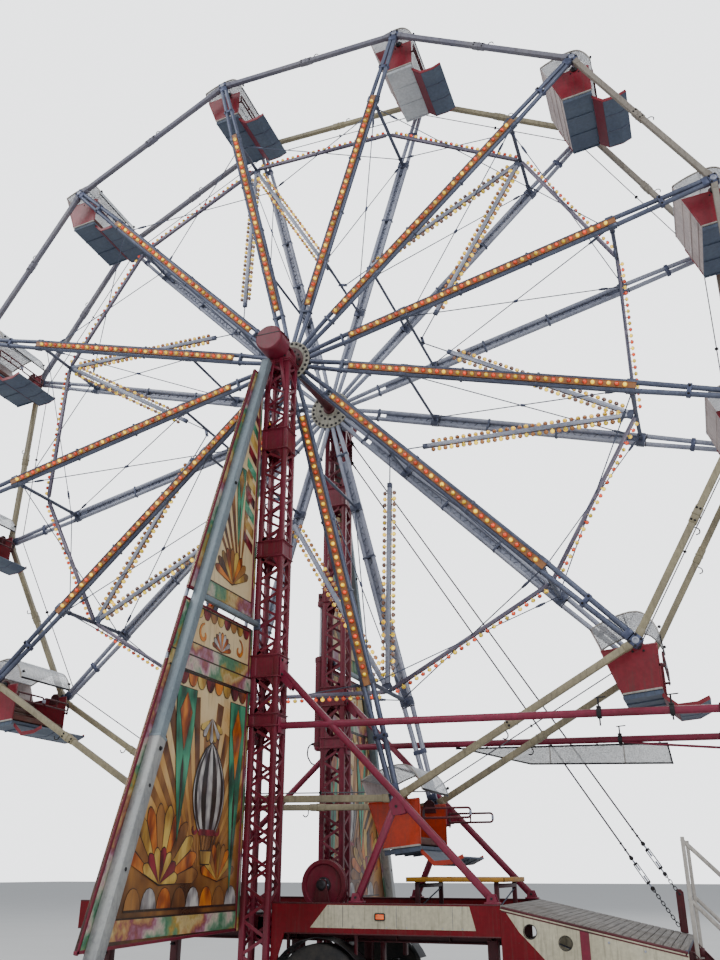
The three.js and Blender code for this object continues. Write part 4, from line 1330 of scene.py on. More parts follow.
GROUND, MARBLE = shaded_sheet(), marbled()
ORANGE = artist("orange ornament", "cf7a26", "9c4a12", "5c2408", 5)
GREEN = artist("green ornament", "4aa078", "246f54", "123f2e", 4)
WINE = artist("wine ornament", "8c2230", "5c0e1a", "2c080c", 5)
PEARL = artist("pearl ornament", "c4c0ba", "8d8888", "504a52", 6)
BROWN = artist("brown rays", "9c6a34", "6f4420", "3c2210", 3)
OUTLINE = artist("dark outline", "2c1a12", "1c100c", "0c0806", 5)
STRAW = artist("straw ornament", "cfae58", "a57c30", "6a4a1c", 5)


def motif(outline, layer, material):
    """Painted shape: a thin plate on the board, in metres out from the mast and up."""
    x = BOARD_FACE + 0.001 * layer
    return upright(outline, x, 0.001, material)


def edged(outline, layer, material, line=0.011):
    """Painted shape with a dark line round it."""
    cy = sum(y for y, _ in outline) / len(outline)
    cz = sum(z for _, z in outline) / len(outline)
    wide = max(abs(y - cy) for y, _ in outline)
    tall = max(abs(z - cz) for _, z in outline)
    grown = [(cy + (y - cy) * (1 + line / wide), cz + (z - cz) * (1 + line / tall)) for y, z in outline]
    return [motif(grown, layer, OUTLINE), motif(outline, layer + 1, material)]


def fan(y, z, radius, first, last, petals, colours, layer):
    """Half rosette of rounded petals over one dark backing."""
    backing, made = [(y, z - 0.012)], []
    span = radians(last - first) / petals
    for k in range(petals):
        start = radians(first) + span * k
        outline = [(y, z)]
        for t in range(7):
            angle = start + span * (0.05 + 0.9 * t / 6)
            reach = radius * (0.86 + 0.14 * sin(pi * t / 6))
            outline.append((y + reach * cos(angle), z + reach * sin(angle)))
            backing.append((y + (reach + 0.012) * cos(angle), z + (reach + 0.012) * sin(angle)))
        made.append(motif(outline, layer + 1, colours[k % len(colours)]))
    return [motif(backing, layer, OUTLINE)] + made


def edges(corners, centre):
    """Each edge of an outline, with the direction from it towards the centre."""
    corners = [Vector(corner) for corner in corners]
    for a, b in zip(corners, corners[1:] + corners[:1]):
        run = (b - a).normalized()
        inward = Vector((-run.y, run.x))
        yield a, b, -inward if inward.dot(centre - a) < 0 else inward


def clipped(outline, board):
    """Keeps the part of a painted shape that lies inside its board's frame."""
    points = [Vector(point) for point in outline]
    corners = [Vector(corner) for corner in board]
    centre = sum(corners, Vector((0, 0))) / len(corners)
    for a, _, inward in edges(corners, centre):
        kept = []
        for p, q in zip(points, points[1:] + points[:1]):
            here, there = inward.dot(p - a) - 0.03, inward.dot(q - a) - 0.03
            if here >= 0:
                kept.append(p)
            if (here < 0) != (there < 0):
                kept.append(p.lerp(q, here / (here - there)))
        points = kept
    return [(point.x, point.y) for point in points]


def rays(y, z, near, far, first, last, count, board):
    """Thin darker beams that spread from a point behind the design."""
    for k in range(count):
        angle = radians(first + (last - first) * (k + 0.5) / count)
        half = radians((last - first) / count * 0.27)
        reach = far * (1 if k % 2 else 0.86)
        sweep = ((near, -half), (reach, -half), (reach, half), (near, half))
        outline = clipped([(y + r * cos(angle + h), z + r * sin(angle + h)) for r, h in sweep], board)
        if len(outline) > 2:
            yield motif(outline, 1, BROWN)


def pendant(y, top, wide, tall, colour, heart, layer):
    """Long tapering drop with a lozenge at its head."""
    shape = [(y - wide / 2, top), (y + wide / 2, top), (y + wide * 0.44, top - tall * 0.25),
        (y + wide * 0.26, top - tall * 0.6), (y, top - tall), (y - wide * 0.26, top - tall * 0.6),
        (y - wide * 0.44, top - tall * 0.25)]
    inner = [(y, top - tall * 0.03), (y + wide * 0.3, top - tall * 0.16), (y, top - tall * 0.42),
        (y - wide * 0.3, top - tall * 0.16)]
    heart_line = [(y, top - tall * 0.45), (y + wide * 0.07, top - tall * 0.55), (y, top - tall * 0.9),
        (y - wide * 0.07, top - tall * 0.55)]
    return edged(shape, layer, colour) + edged(inner, layer + 2, heart,
        0.009) + [motif(heart_line, layer + 2, OUTLINE)]


def balloon(y, z, wide, tall, layer):
    """Striped balloon: gores between meridians, a band at its foot and a small basket."""
    def reach(t):
        return wide * sin(pi * (0.12 + 0.88 * t)) ** 0.72

    def meridian(share, grow=0):
        return [(y + (reach(t / 12) + grow) * share, z + (tall + grow) * t / 12) for t in range(13)]

    made = [motif(meridian(-1, 0.014) + meridian(1, 0.014)[-2::-1], layer, OUTLINE)]
    gores = 9
    for k in range(gores):
        a, b = (sin(pi * ((k + n) / gores - 0.5)) for n in (0, 1))
        made.append(motif(meridian(a) + meridian(b)[-2::-1], layer + 1, PEARL if k % 2 == 0 else OUTLINE))
    foot = reach(0) + 0.012
    made.append(motif([(y - foot, z - 0.02), (y + foot, z - 0.02), (y + foot, z + 0.035),
        (y - foot, z + 0.035)], layer + 2, WINE))
    for hand in (-1, 1):
        made.append(motif([(y + hand * foot * 0.8, z - 0.02), (y + hand * (foot * 0.8 - 0.012), z - 0.02),
            (y + hand * 0.075, z - 0.16), (y + hand * 0.087, z - 0.16)], layer, OUTLINE))
    return made + edged([(y - 0.1, z - 0.16), (y + 0.1, z - 0.16), (y + 0.08, z - 0.27),
        (y - 0.08, z - 0.27)], layer + 1, STRAW, 0.01)


def scallops(y0, y1, z, radius, colours, layer, up=False):
    """Row of half discs along a line."""
    count = max(1, round((y1 - y0) / (2 * radius)))
    step = (y1 - y0) / count
    yield motif([(y0, z - 0.008), (y1, z - 0.008), (y1, z + 0.008), (y0, z + 0.008)], layer + 2, OUTLINE)
    for k in range(count):
        cy = y0 + step * (k + 0.5)
        arc = [(cy + step * 0.47 * cos(pi * t / 8), z + (1 if up else -1) * (0.01
            + radius * 1.25 * sin(pi * t / 8))) for t in range(9)]
        yield from edged(arc, layer, colours[k % len(colours)], 0.008)


def scroll(y, z, size, turn, hand, colour, layer):
    """C scroll: a ribbon that narrows along a spiral."""
    outer, inner = [], []
    for t in range(15):
        angle = radians(turn) + hand * radians(23 * t)
        reach = size * (1 - 0.052 * t)
        wide = size * 0.34 * sin(pi * (t + 1.2) / 17)
        outer.append((y + reach * cos(angle), z + reach * sin(angle)))
        inner.append((y + (reach - wide) * cos(angle), z + (reach - wide) * sin(angle)))
    made = [motif(outer + inner[::-1], layer + 1, colour)]
    outer = [(y + (a - y) * 1.045, z + (b - z) * 1.045) for a, b in outer]
    inner = [(y + (a - y) * 0.94, z + (b - z) * 0.94) for a, b in inner]
    return made + [motif(outer + inner[::-1], layer, OUTLINE)]


def border(outline, wide):
    """Marbled strips inside the slanted edge and the foot of a board, each with a dark inner line."""
    corners = [Vector(point) for point in outline]
    slant = sorted(corners, key=lambda point: point.x)[-2:]
    low, high = sorted(slant, key=lambda point: point.y)
    if high.x > low.x:
        low, high = high, low
    foot = [point for point in corners if point not in (low, high)]
    foot = min(foot, key=lambda point: point.y)
    run = (high - low).normalized()
    across = Vector((-abs(run.y), -abs(run.x)))
    a, b = low + across * 0.03 + run * 0.03, high + across * 0.03 - run * 0.03
    yield motif([a, b, b + across * wide, a + across * wide], 6, MARBLE)
    yield motif([a + across * wide, b + across * wide, b + across * (wide + 0.016),
        a + across * (wide + 0.016)], 7, OUTLINE)
    x0, x1 = foot.x + 0.03, low.x - wide * 1.05 - 0.06
    z0, z1 = foot.y + 0.03, min(low.y, foot.y) + 0.05 + wide * 0.8
    yield motif([(x0, z0), (x1, z0), (x1 - 0.04, z1), (x0, z1)], 6, MARBLE)
    yield motif([(x0, z1), (x1 - 0.04, z1), (x1 - 0.05, z1 + 0.014), (x0, z1 + 0.014)], 7, OUTLINE)


def framed_sheet(outline):
    """Sheet with an angle frame round it."""
    yield upright(outline, -0.1823, 0.0223, GROUND)
    centre = Vector((sum(y for y, _ in outline) / 4, sum(z for _, z in outline) / 4))
    for a, b, inward in edges(outline, centre):
        a, b = a + inward * 0.013, b + inward * 0.013
        yield beam((-0.1665, -a.x, a.y), (-0.1665, -b.x, b.y), 0.0315, 0.026, AHEAD, MAST_RED, 0.003)


def lower_design():
    board = BOARDS[2]
    yield from border(board, 0.2)
    yield from rays(1.98, 1.45, 0.2, 1.75, 38, 142, 13, board)
    yield from scallops(1.2, 3.16, 1.3, 0.13, (PEARL, BROWN, ORANGE), 2, True)
    yield from fan(1.62, 1.52, 0.34, 10, 170, 9, (ORANGE, STRAW, BROWN), 4)
    yield from fan(2.66, 1.5, 0.66, 18, 180, 11, (ORANGE, BROWN, STRAW), 4)
    yield from fan(2.66, 1.5, 0.3, 18, 180, 7, (STRAW, WINE), 6)
    yield from pendant(1.37, 3.24, 0.33, 1.82, GREEN, ORANGE, 6)
    yield from pendant(2.42, 3.24, 0.36, 1.38, GREEN, ORANGE, 6)
    yield from balloon(1.88, 1.94, 0.3, 0.84, 6)
    yield from scroll(1.66, 1.98, 0.1, 95, -1, WINE, 2)
    yield from scroll(2.12, 1.98, 0.1, 85, 1, WINE, 2)
    yield from fan(1.9, 3.02, 0.24, 200, 340, 7, (STRAW, PEARL), 4)
    yield from scallops(1.2, 2.6, 3.39, 0.09, (ORANGE, WINE, STRAW), 6)


def middle_design():
    board = BOARDS[1]
    yield from border(board, 0.15)
    yield from scallops(1.2, 2.36, 4.08, 0.075, (WINE, STRAW, BROWN), 2)
    yield from fan(1.8, 3.72, 0.2, 5, 175, 9, (ORANGE, PEARL), 2)
    for y, hand in ((1.42, 1), (2.18, -1)):
        yield from scroll(y, 3.82, 0.12, 90, hand, ORANGE, 2)


def upper_design():
    board = BOARDS[0]
    yield from border(board, 0.17)
    yield from rays(1.5, 4.5, 0.2, 1.5, 42, 100, 6, board)
    yield from fan(1.66, 4.5, 0.4, 8, 160, 9, (ORANGE, BROWN, STRAW), 4)
    yield from pendant(1.58, 5.95, 0.19, 0.98, GREEN, STRAW, 6)
    for k in range(11):
        z = 4.98 + 0.185 * k
        right = 1.46 - max(0, z - 5.9) * 0.13
        yield motif([(1.225, z), (right, z + 0.12), (right, z + 0.24), (1.225, z + 0.12)], 2,
            (WINE, STRAW, GREEN)[k % 3])


def edge_strips():
    """Marbled strips next to the mast, and the one that covers the joint between two boards."""
    for strip in ([(1.098, 1.06), (BOARD_EDGE, 1.06), (BOARD_EDGE, 4.12), (1.098, 4.12)],
            [(1.098, 4.22), (BOARD_EDGE, 4.22), (1.2, 7.36), (1.135, 7.36)]):
        yield upright(strip, -0.182, 0.021, MARBLE)
    yield upright([(1.1, 3.4), (2.83, 3.4), (2.77, 3.57), (1.1, 3.57)], -0.1498, 0.0025, MARBLE)
    for z in (3.4, 3.555):
        yield upright([(1.1, z), (2.8, z), (2.795, z + 0.015), (1.1, z + 0.015)], -0.1472, 0.001, OUTLINE)


def side_boards():
    for outline in BOARDS:
        yield from framed_sheet(outline)
    for design in (lower_design, middle_design, upper_design, edge_strips):
        yield from design()
    for (y0, z0), (y1, z1) in (((1.195, 1.09), (1.225, 7.36)), ((3.65, 1.07), (1.376, 7.3))):
        yield beam((-0.1963, -y0, z0), (-0.1963, -y1, z1), 0.028, 0.036, AHEAD, GALV, 0.003)
    for z in (1.4, 2.2, 3, 4.5, 5.4, 6.4):
        far = 3.65 - (z - 1.07) * 0.365
        yield beam((-0.187, -1.2, z), (-0.187, -far, z), 0.008, 0.03, AHEAD, GALV_DARK, 0.001)


both_sides(side_boards(), "boards", "_painted_boards", "_side_boards")


# Trailer: deck plates on a girder frame, painted copings, jacks, rear braces and the drive stand

DISC_X, DISC_Z = 0.585, 1.476
PLATE_HALF, PLATE_UNDER = 0.83, 1.205
SLOPE = (COPING_TOP - RAMP_END_TOP) / (RAMP_END - DECK_RIGHT)
# The reflectors use the lamp shader, so they glow a little with a brighter heart: painted light on a part
# that is no lamp
REFLECTOR = lamp("orange reflector", "b03008", "ff7a3c", 0.25)


def circle(x, y, z, radius, count):
    """Spots evenly round a circle square to y."""
    turns = [2 * pi * k / count for k in range(count)]
    return [(x + radius * cos(turn), y, z + radius * sin(turn)) for turn in turns]


def girder(y):
    """Main beam of I section with stiffeners."""
    yield rail(DECK_LEFT, DECK_RIGHT, y, 0.05, 0.95, 0.966, DEEP_RED, 0.002)
    yield rail(DECK_LEFT, DECK_RIGHT, y, 0.05, 1.169, 1.184, DEEP_RED, 0.002)
    yield rail(DECK_LEFT, DECK_RIGHT, y, 0.008, 0.96, 1.175, DEEP_RED, 0)
    rib = rail(DECK_LEFT + 0.1, DECK_LEFT + 0.11, y, 0.046, 0.964, 1.171, DEEP_RED, 0)
    yield row(rib, (0.55, 0, 0), 9)


def jack(x, y, top):
    """Outer leg, inner leg with pin holes, crank head and a pad on a timber packer."""
    yield post(x, y, 0.05, 0.05, 0.36, top, DEEP_RED, 0.006, 2)
    yield post(x, y, 0.041, 0.041, 0.03, 0.4, GALV, 0.005, 2)
    yield post(x, y, 0.056, 0.056, 0.352, 0.372, DEEP_RED)
    yield post(x, y, 0.1, 0.1, 0.045, 0.058, GALV_DARK)
    yield post(x, y, 0.15, 0.15, 0, 0.045, TIMBER, 0.004)
    web = [(0.09 - y, 0.058), (-0.09 - y, 0.058), (-0.045 - y, 0.14), (0.045 - y, 0.14)]
    for face in (-1, 1):
        yield upright(web, x - 0.045 * face, 0.008 * face, GALV_DARK, 0.001)
    pin = [(0.011, 0), (0.013, 0.001), (0.013, 0.002)]
    pin = turned(pin, (x, y - 0.041, 0.16), (0, -1, 0), STEEL_DARK, 10)
    yield row(pin, (0, 0, 0.055), 4)
    crank = [(0.012, 0), (0.018, 0.003), (0.018, 0.04), (0.01, 0.044), (0.01, 0.075)]
    yield turned(crank, (x, y - 0.05, 0.8), (0, -1, 0), STEEL_DARK, 12)


def coping(side):
    """Side sheet in outline with rolled lips, and its painted panels on the near side."""
    face = side * DECK_HALF
    inner = face - side * 0.024
    outline = [(NOTCH_RIGHT, 1.32), (NOTCH_RIGHT, 0.76), (0.24, 0.76), (0.33, 1.05), (DECK_RIGHT, 1.05),
        (DECK_RIGHT, 1.32)]
    left = [(DECK_LEFT, 1.05), (-0.24, 1.05), (-0.24, 1.32), (DECK_LEFT, 1.32)]
    for line in (outline, left):
        yield flat_xz(line, *sorted((face, inner)), TRAILER_RED, 0.002)
    lip = sorted((face + side * 0.003, inner - side * 0.014))
    for x0, x1 in ((NOTCH_RIGHT, DECK_RIGHT), (DECK_LEFT, -0.24)):
        yield block((x0, lip[0], 1.311), (x1, lip[1], 1.3235), DEEP_RED)
        yield block((max(x0, 0.33) if x0 > 0 else x0, lip[0], 1.046), (x1, lip[1], 1.058), DEEP_RED)
    skin = sorted((face, face + side * 0.0025))
    for x0, x1, x2, x3 in ((0.609, 2.268, 2.212, 0.788), (-1.96, -0.62, -0.44, -1.96)):
        yield flat_xz([(x0, 1.102), (x1, 1.102), (x2, 1.304), (x3, 1.304)], *skin, CREAM, 0.0008)
    for x in (0.95, 1.5, 2.05, -0.9, -1.5):
        yield block((x - 0.002, skin[0] - 0.0002, 1.11), (x + 0.002, skin[1] + 0.0002, 1.3), GALV_DARK, 0)
    spots = [(x, face + side * 0.0025, z) for x in (0.8, 1.06, 1.4, 1.6, 1.95, 2.14, -0.7, -1.2, -1.8)
        for z in (1.115, 1.292)]
    first = turned([(0.006, 0), (0.006, 0.001), (0.003, 0.003)], (0, 0, 0), (0, side, 0), GALV, 8)
    yield from copies(first, spots)
    for x in (1.334, -1.25):
        yield cube((x, face + side * 0.007, 1.205), (0.052, 0.005, 0.032), STEEL_DARK, 0.012, 3)
        yield cube((x, face + side * 0.0115, 1.205), (0.043, 0.0055, 0.023), REFLECTOR, 0.008, 3)
    for x in (0.3, 0.62, 1.3, 1.95, 2.35, -0.5, -1.2, -1.9):
        yield upright([(-side * y, z) for y, z in ((1.05, 1.07), (1.05, 1.18), (0.52, 1.18), (0.52, 1.11))],
            x, 0.008, DEEP_RED)


def drive_stand():
    for y in (-0.598, -0.742):
        cheek = [(0.47, DECK_TOP), (0.7, DECK_TOP), (0.625, 1.53), (0.545, 1.53)]
        yield flat_xz(cheek, y - 0.008, y + 0.008, DEEP_RED, 0.003)
        foot = [(0.455, DECK_TOP), (0.715, DECK_TOP), (0.715, 1.232), (0.455, 1.232)]
        yield flat_xz(foot, y - 0.035, y + 0.035, DEEP_RED, 0.002)
        out = copysign(1, y + 0.67)
        bearing = [(0.05, 0), (0.05, 0.012), (0.04, 0.02), (0.026, 0.022)]
        yield turned(bearing, (DISC_X, y + out * 0.008, DISC_Z), (0, out, 0), STEEL_DARK, 20)
        yield from bolts([(x, y + out * 0.025, 1.232) for x in (0.475, 0.695)], UP, 0.02)


def trailer_body():
    for x0, x1 in ((DECK_LEFT, -1.15), (-1.146, -0.2), (-0.196, 0.315), (0.855, 1.7), (1.704, DECK_RIGHT)):
        yield rail(x0, x1, 0, PLATE_HALF, PLATE_UNDER, DECK_TOP, DECK_GREY, 0.002)
    for y0, y1 in ((-0.61, PLATE_HALF), (-PLATE_HALF, -0.72)):
        yield block((0.319, y0, PLATE_UNDER), (0.851, y1, DECK_TOP), DECK_GREY, 0.002)
    for side in (-1, 1):
        for x0, x1 in ((NOTCH_RIGHT, DECK_RIGHT), (DECK_LEFT, -0.19)):
            yield rail(x0, x1, side * 0.945, 0.111, PLATE_UNDER, DECK_TOP, DECK_GREY, 0.002)
        yield from girder(side * 0.45)
        yield from coping(side)
        for x in (DECK_LEFT + 0.16, DECK_RIGHT - 0.16):
            yield from jack(x, side * 0.7, 1.184)
        for x0, x1 in ((NOTCH_RIGHT, 0.315), (0.855, DECK_RIGHT), (DECK_LEFT, -0.19)):
            yield rail(x0, x1, side * PLATE_HALF, 0.02, 1.165, 1.206, DEEP_RED, 0.002)
    for x, count in ((DECK_LEFT + 0.06, 20), (DECK_LEFT + 3.05, 18)):
        grip = crossbar(x, DECK_TOP + 0.0008, 0.8, 0.012, 0.0028, AHEAD, GALV_DARK, 0)
        yield row(grip, (0.09, 0, 0), count)
    for x in (-1.94, -1.2, -0.5, 1.25, 1.8, 2.34):
        deep = 1 if x in (-1.94, 2.34) else 1.08
        yield post(x, 0, 0.035, PLATE_HALF, deep, deep + 0.012, DEEP_RED, 0.002)
        yield post(x, 0, 0.006, PLATE_HALF, deep, 1.206, DEEP_RED, 0)
    reach = MAST_Y - HALF_Y - 0.004
    yield rail(-0.07, 0.11, 0, reach, 0.98, 1.184, DEEP_RED, 0.005, 2)
    for side in (-1, 1):
        end = side * reach
        a, b = sorted((end, end - side * 0.016))
        yield block((-0.13, a, 0.95), (0.17, b, 1.2), DEEP_RED)
        yield from bolts([(x, end - side * 0.016, z) for x in (-0.105, 0.145)
            for z in (0.985, 1.075, 1.165)], (0, -side, 0), 0.026)
        y = side * MAST_Y
        yield tube((-0.112, y, 2.961), (-1.965, y, 1.263), 0.074, BOOM_RED, 16)
        yield rail(-0.116, -0.104, y, 0.07, 2.86, 3.05, DEEP_RED, 0.002)
        lug = [(-2.06, DECK_TOP), (-1.86, DECK_TOP), (-1.9, 1.33), (-1.99, 1.3)]
        for face in (-0.046, 0.046):
            yield flat_xz(lug, y + face - 0.004, y + face + 0.004, DEEP_RED, 0.001)
        yield tube((-1.94, y - 0.065, 1.285), (-1.94, y + 0.065, 1.285), 0.03, STEEL_DARK)
    yield from jack(0, 0, 1)
    yield post(0, 0, 0.02, 0.47, 0.99, 1.09, DEEP_RED, 0.002)
    yield from drive_stand()


place(joined("trailer_body", trailer_body()), "structure", "red_paint", "trailer_frame")


# Road wheels: treaded tyres on dished rims, axle, hangers, leaf springs and mudguards

AXLE_X, TYRE = 0.67, 0.48


def road_wheel(side):
    spot = (AXLE_X, side * 0.915, TYRE)
    tread = [(0.255, -0.088), (0.3, -0.106), (0.4, -0.11), (0.452, -0.102), (0.474, -0.088)]
    for h in (-0.06, -0.02, 0.02, 0.06):
        tread += [(0.4795, h - 0.017), (0.4795, h + 0.01), (0.468, h + 0.013), (0.468, h + 0.019)]
    tread += [(0.474, 0.088), (0.452, 0.102), (0.4, 0.11), (0.3, 0.106), (0.262, 0.096)]
    yield turned(tread, spot, (0, side, 0), RUBBER, 40, 50)
    dish = [(0.268, 0.085), (0.27, 0.101), (0.262, 0.105), (0.252, 0.101), (0.246, 0.07), (0.228, 0.04),
        (0.19, 0.028), (0.15, 0.044), (0.12, 0.058), (0.1, 0.06)]
    yield turned(dish, spot, (0, side, 0), CREAM, 40)
    yield turned([(0.09, 0.055), (0.092, 0.085), (0.08, 0.098), (0.045, 0.103), (0.04, 0.098)], spot,
        (0, side, 0), DEEP_RED, 24)
    yield from bolts(circle(AXLE_X, side * 0.965, TYRE, 0.118, 8), (0, side, 0), 0.024)


def running_gear():
    yield tube((AXLE_X, -0.86, TYRE), (AXLE_X, 0.86, TYRE), 0.088, DEEP_RED, 20)
    for side in (-1, 1):
        yield from road_wheel(side)
        y = side * 0.45
        yield post(AXLE_X, y, 0.045, 0.038, TYRE + 0.02, 0.949, DEEP_RED, 0.005, 2)
        yield collar(0.052, 0.06, 0.05, (AXLE_X, y, TYRE), ACROSS, STEEL_DARK, 20, 0.004)
        turns = [radians(turn) for turn in range(154, 25, -8)]
        arc = [(AXLE_X + 0.535 * cos(turn), TYRE + 0.535 * sin(turn)) for turn in turns]
        yield shell(arc, *sorted((side * 0.8, side * 1.05)), 0.005, STEEL_DARK)
        for reach in (-0.36, 0.36):
            yield post(AXLE_X + reach, side * 0.92, 0.012, 0.02, 0.86, PLATE_UNDER, DEEP_RED, 0.002)
        y = side * 0.368
        for k in range(4):
            half = 0.46 - 0.09 * k
            line = [(AXLE_X + half * t, 0.7 - 0.016 * k + 0.09 * (half * t / 0.46) ** 2)
                for t in (-1, -0.66, -0.33, 0, 0.33, 0.66, 1)]
            yield shell(line, y - 0.034, y + 0.034, 0.012, STEEL_DARK)
        for reach in (-0.45, 0.45):
            yield post(AXLE_X + reach, y, 0.02, 0.038, 0.775, 0.955, DEEP_RED)
        yield post(AXLE_X, y, 0.05, 0.042, 0.5, 0.665, DEEP_RED, 0.004)


place(joined("wheels_axle_and_springs", running_gear()), "structure", "tyre", "road_wheels")


# Gangway: planked slope between painted skirts, with portholes, legs, steps and hand rails

def ramp_top(x):
    return COPING_TOP - SLOPE * (x - DECK_RIGHT)


def ramp_skirt(side):
    face = side * DECK_HALF
    inner = face - side * 0.024
    y0, y1 = sorted((face, inner))
    start = DECK_RIGHT + 0.0003
    skirt = flat_xz([(start, 0.79), (RAMP_END, 0.79), (RAMP_END, RAMP_END_TOP - 0.03),
        (start, COPING_TOP - 0.03)], y0, y1, CREAM, 0)
    for x, z in ((2.765, 1.105), (3.075, 1.02)):
        cutter = tube((x, y0 - 0.05, z), (x, y1 + 0.05, z), 0.116, CREAM, 28)
        apply(skirt, "BOOLEAN", object=cutter, operation="DIFFERENCE", solver="EXACT")
        discard(cutter)
        yield bent(circle(x, face, z, 0.06, 24), 0.007, STEEL_DARK, 0, True, 1)
    yield skirt
    skin = sorted((face, face + side * 0.0025))
    sweep = [(start, 0.8), (2.965, 0.8), (2.79, 0.98), (2.668, 1.098), (2.552, 1.262), (start, 1.284)]
    yield flat_xz(sweep, *skin, TRAILER_RED, 0.0008)
    stripe = [(3.205, 0.8), (3.284, 0.8), (3.284, ramp_top(3.284) - 0.05), (3.205, ramp_top(3.205) - 0.05)]
    yield flat_xz(stripe, *skin, BOOM_RED, 0.0008)
    yield block((start, skin[0], 0.79), (RAMP_END, skin[1], 0.835), TRAILER_RED, 0.001)
    for sunk, drop, width, depth, edge in ((0.008, 0.02, 0.022, 0.022, 0.003),
            (0.012, 0.048, 0.012, 0.032, 0.002)):
        yield strut((start + 0.01, ramp_top(start) - drop), (RAMP_END - 0.005, RAMP_END_TOP - drop),
            face - side * sunk, width, depth, UP, DEEP_RED, edge)
    spots = [(x, face, z) for x in (3.45, 3.75, 4.05) for z in (0.86, ramp_top(x) - 0.09)]
    yield from bolts(spots, (0, side, 0), 0.014, GALV)


def steps_side(side):
    y = side * 0.64
    string = [(RAMP_END - 0.05, 0.77), (4.83, 0), (5.01, 0), (RAMP_END + 0.02, 0.95),
        (RAMP_END - 0.05, 0.96)]
    yield flat_xz(string, y - 0.008, y + 0.008, DEEP_RED, 0.002)
    for a, b in (((RAMP_END - 0.05, 0.775), (4.825, 0.005)), ((RAMP_END + 0.025, 0.945), (5.005, 0.005))):
        yield strut(a, b, y, 0.01, 0.04, UP, DEEP_RED, 0.001)
    for x0, z0, z1 in ((4.14, 0.8, 1.9), (4.84, 0.06, 1.15)):
        yield rail(x0, x0 + 0.036, y, 0.018, z0, z1, WHITE_STRIP, 0.005, 2)
        yield rail(x0 - 0.012, x0 + 0.048, y, 0.026, z0 + 0.02, z0 + 0.1, DEEP_RED)
    for z0, z1 in ((1.88, 1.13), (1.38, 0.63)):
        yield strut((4.145, z0), (4.87, z1), y, 0.036, 0.034, UP, WHITE_STRIP, 0.008)


def gangway():
    start = DECK_RIGHT + 0.0003
    length = hypot(RAMP_END - start, COPING_TOP - RAMP_END_TOP)
    down = Vector((RAMP_END - start, 0, RAMP_END_TOP - COPING_TOP)).normalized()
    up = Vector((-down.z, 0, down.x))
    head = Vector((start, 0, COPING_TOP))
    lay = Matrix((down, (0, 1, 0), up)).transposed().to_4x4()
    lay = Matrix.Translation(head) @ lay
    pitch = length / 24
    plank = rail(0.003, pitch - 0.003, 0, 1.074, -0.024, 0, TIMBER)
    planks = row(plank, (pitch, 0, 0), 24)
    planks.data.transform(lay)
    yield planks
    for y in (-1.02, -0.5, 0, 0.5, 1.02):
        bearer = rail(0.01, length - 0.01, y, 0.025, -0.058, -0.026, DEEP_RED, 0.002)
        bearer.data.transform(lay)
        yield bearer
    nose = rail(length - 0.022, length - 0.002, 0, 1.08, -0.056, -0.001, GALV_DARK)
    nose.data.transform(lay)
    yield nose
    for x in (start + 0.06, RAMP_END - 0.08):
        yield post(x, 0, 0.03, 1, 0.93, 0.99, DEEP_RED, 0.004)
        for side in (-1, 1):
            y = side * (DECK_HALF - 0.07)
            yield post(x, y, 0.04, 0.042, 0.3, 1, DEEP_RED, 0.006, 2)
            yield post(x, y, 0.03, 0.032, 0.03, 0.34, GALV, 0.004, 2)
            yield post(x, y, 0.046, 0.048, 0.29, 0.31, DEEP_RED)
            yield post(x, y, 0.12, 0.11, 0.018, 0.03, GALV_DARK)
            yield post(x, y, 0.12, 0.11, 0, 0.018, TIMBER)
    for side in (-1, 1):
        yield from ramp_skirt(side)
        yield from steps_side(side)
        for y, z0, z1 in ((0.99, 0.93, 0.36), (0.97, 0.36, 0.9)):
            yield tube((start + 0.06, side * y, z0), (RAMP_END - 0.08, side * y, z1), 0.016, GALV_DARK, 8)
    for k in range(3):
        x, z = RAMP_END + 0.06 + 0.225 * k, RAMP_END_TOP - 0.247 * (k + 1)
        for t in range(3):
            yield rail(x + 0.086 * t + 0.002, x + 0.086 * t + 0.084, 0, 0.632, z - 0.026, z, TIMBER)
        yield rail(x + 0.246, x + 0.26, 0, 0.645, z - 0.036, z + 0.001, GALV_DARK)
        yield rail(x, x + 0.012, 0, 0.645, z - 0.036, z - 0.004, DEEP_RED, 0.002)


place(joined("planked_gangway", gangway()), "structure", "white_paint", "gangway")


# Front frames: level boom, square brace to the deck, rear brace, end post and boom clamps

BOOM_TIP, BOOM_START, BOOM_END = 4.85, 3.06, 2.985
FRAME_X = MAST_X + HALF_X + 0.0003


def boom_at(x):
    return BOOM_START + (BOOM_END - BOOM_START) * x / BOOM_TIP


def clamp(x, y, hanger):
    """Saddle clamp with a tee screw above and a stub below."""
    z = boom_at(x)
    yield collar(0.047, 0.054, 0.022, (x, y, z), AHEAD, STEEL_DARK, 16)
    yield post(x, y, 0.022, 0.03, z + 0.045, z + 0.066, STEEL_DARK, 0.004)
    yield tube((x, y, z + 0.06), (x, y, z + 0.15), 0.018, STEEL_DARK, 10)
    yield tube((x - 0.03, y, z + 0.146), (x + 0.075, y, z + 0.152), 0.013, STEEL_DARK, 8)
    yield tube((x, y, z - 0.05), (x, y, z - hanger), 0.016, STEEL_DARK, 8)


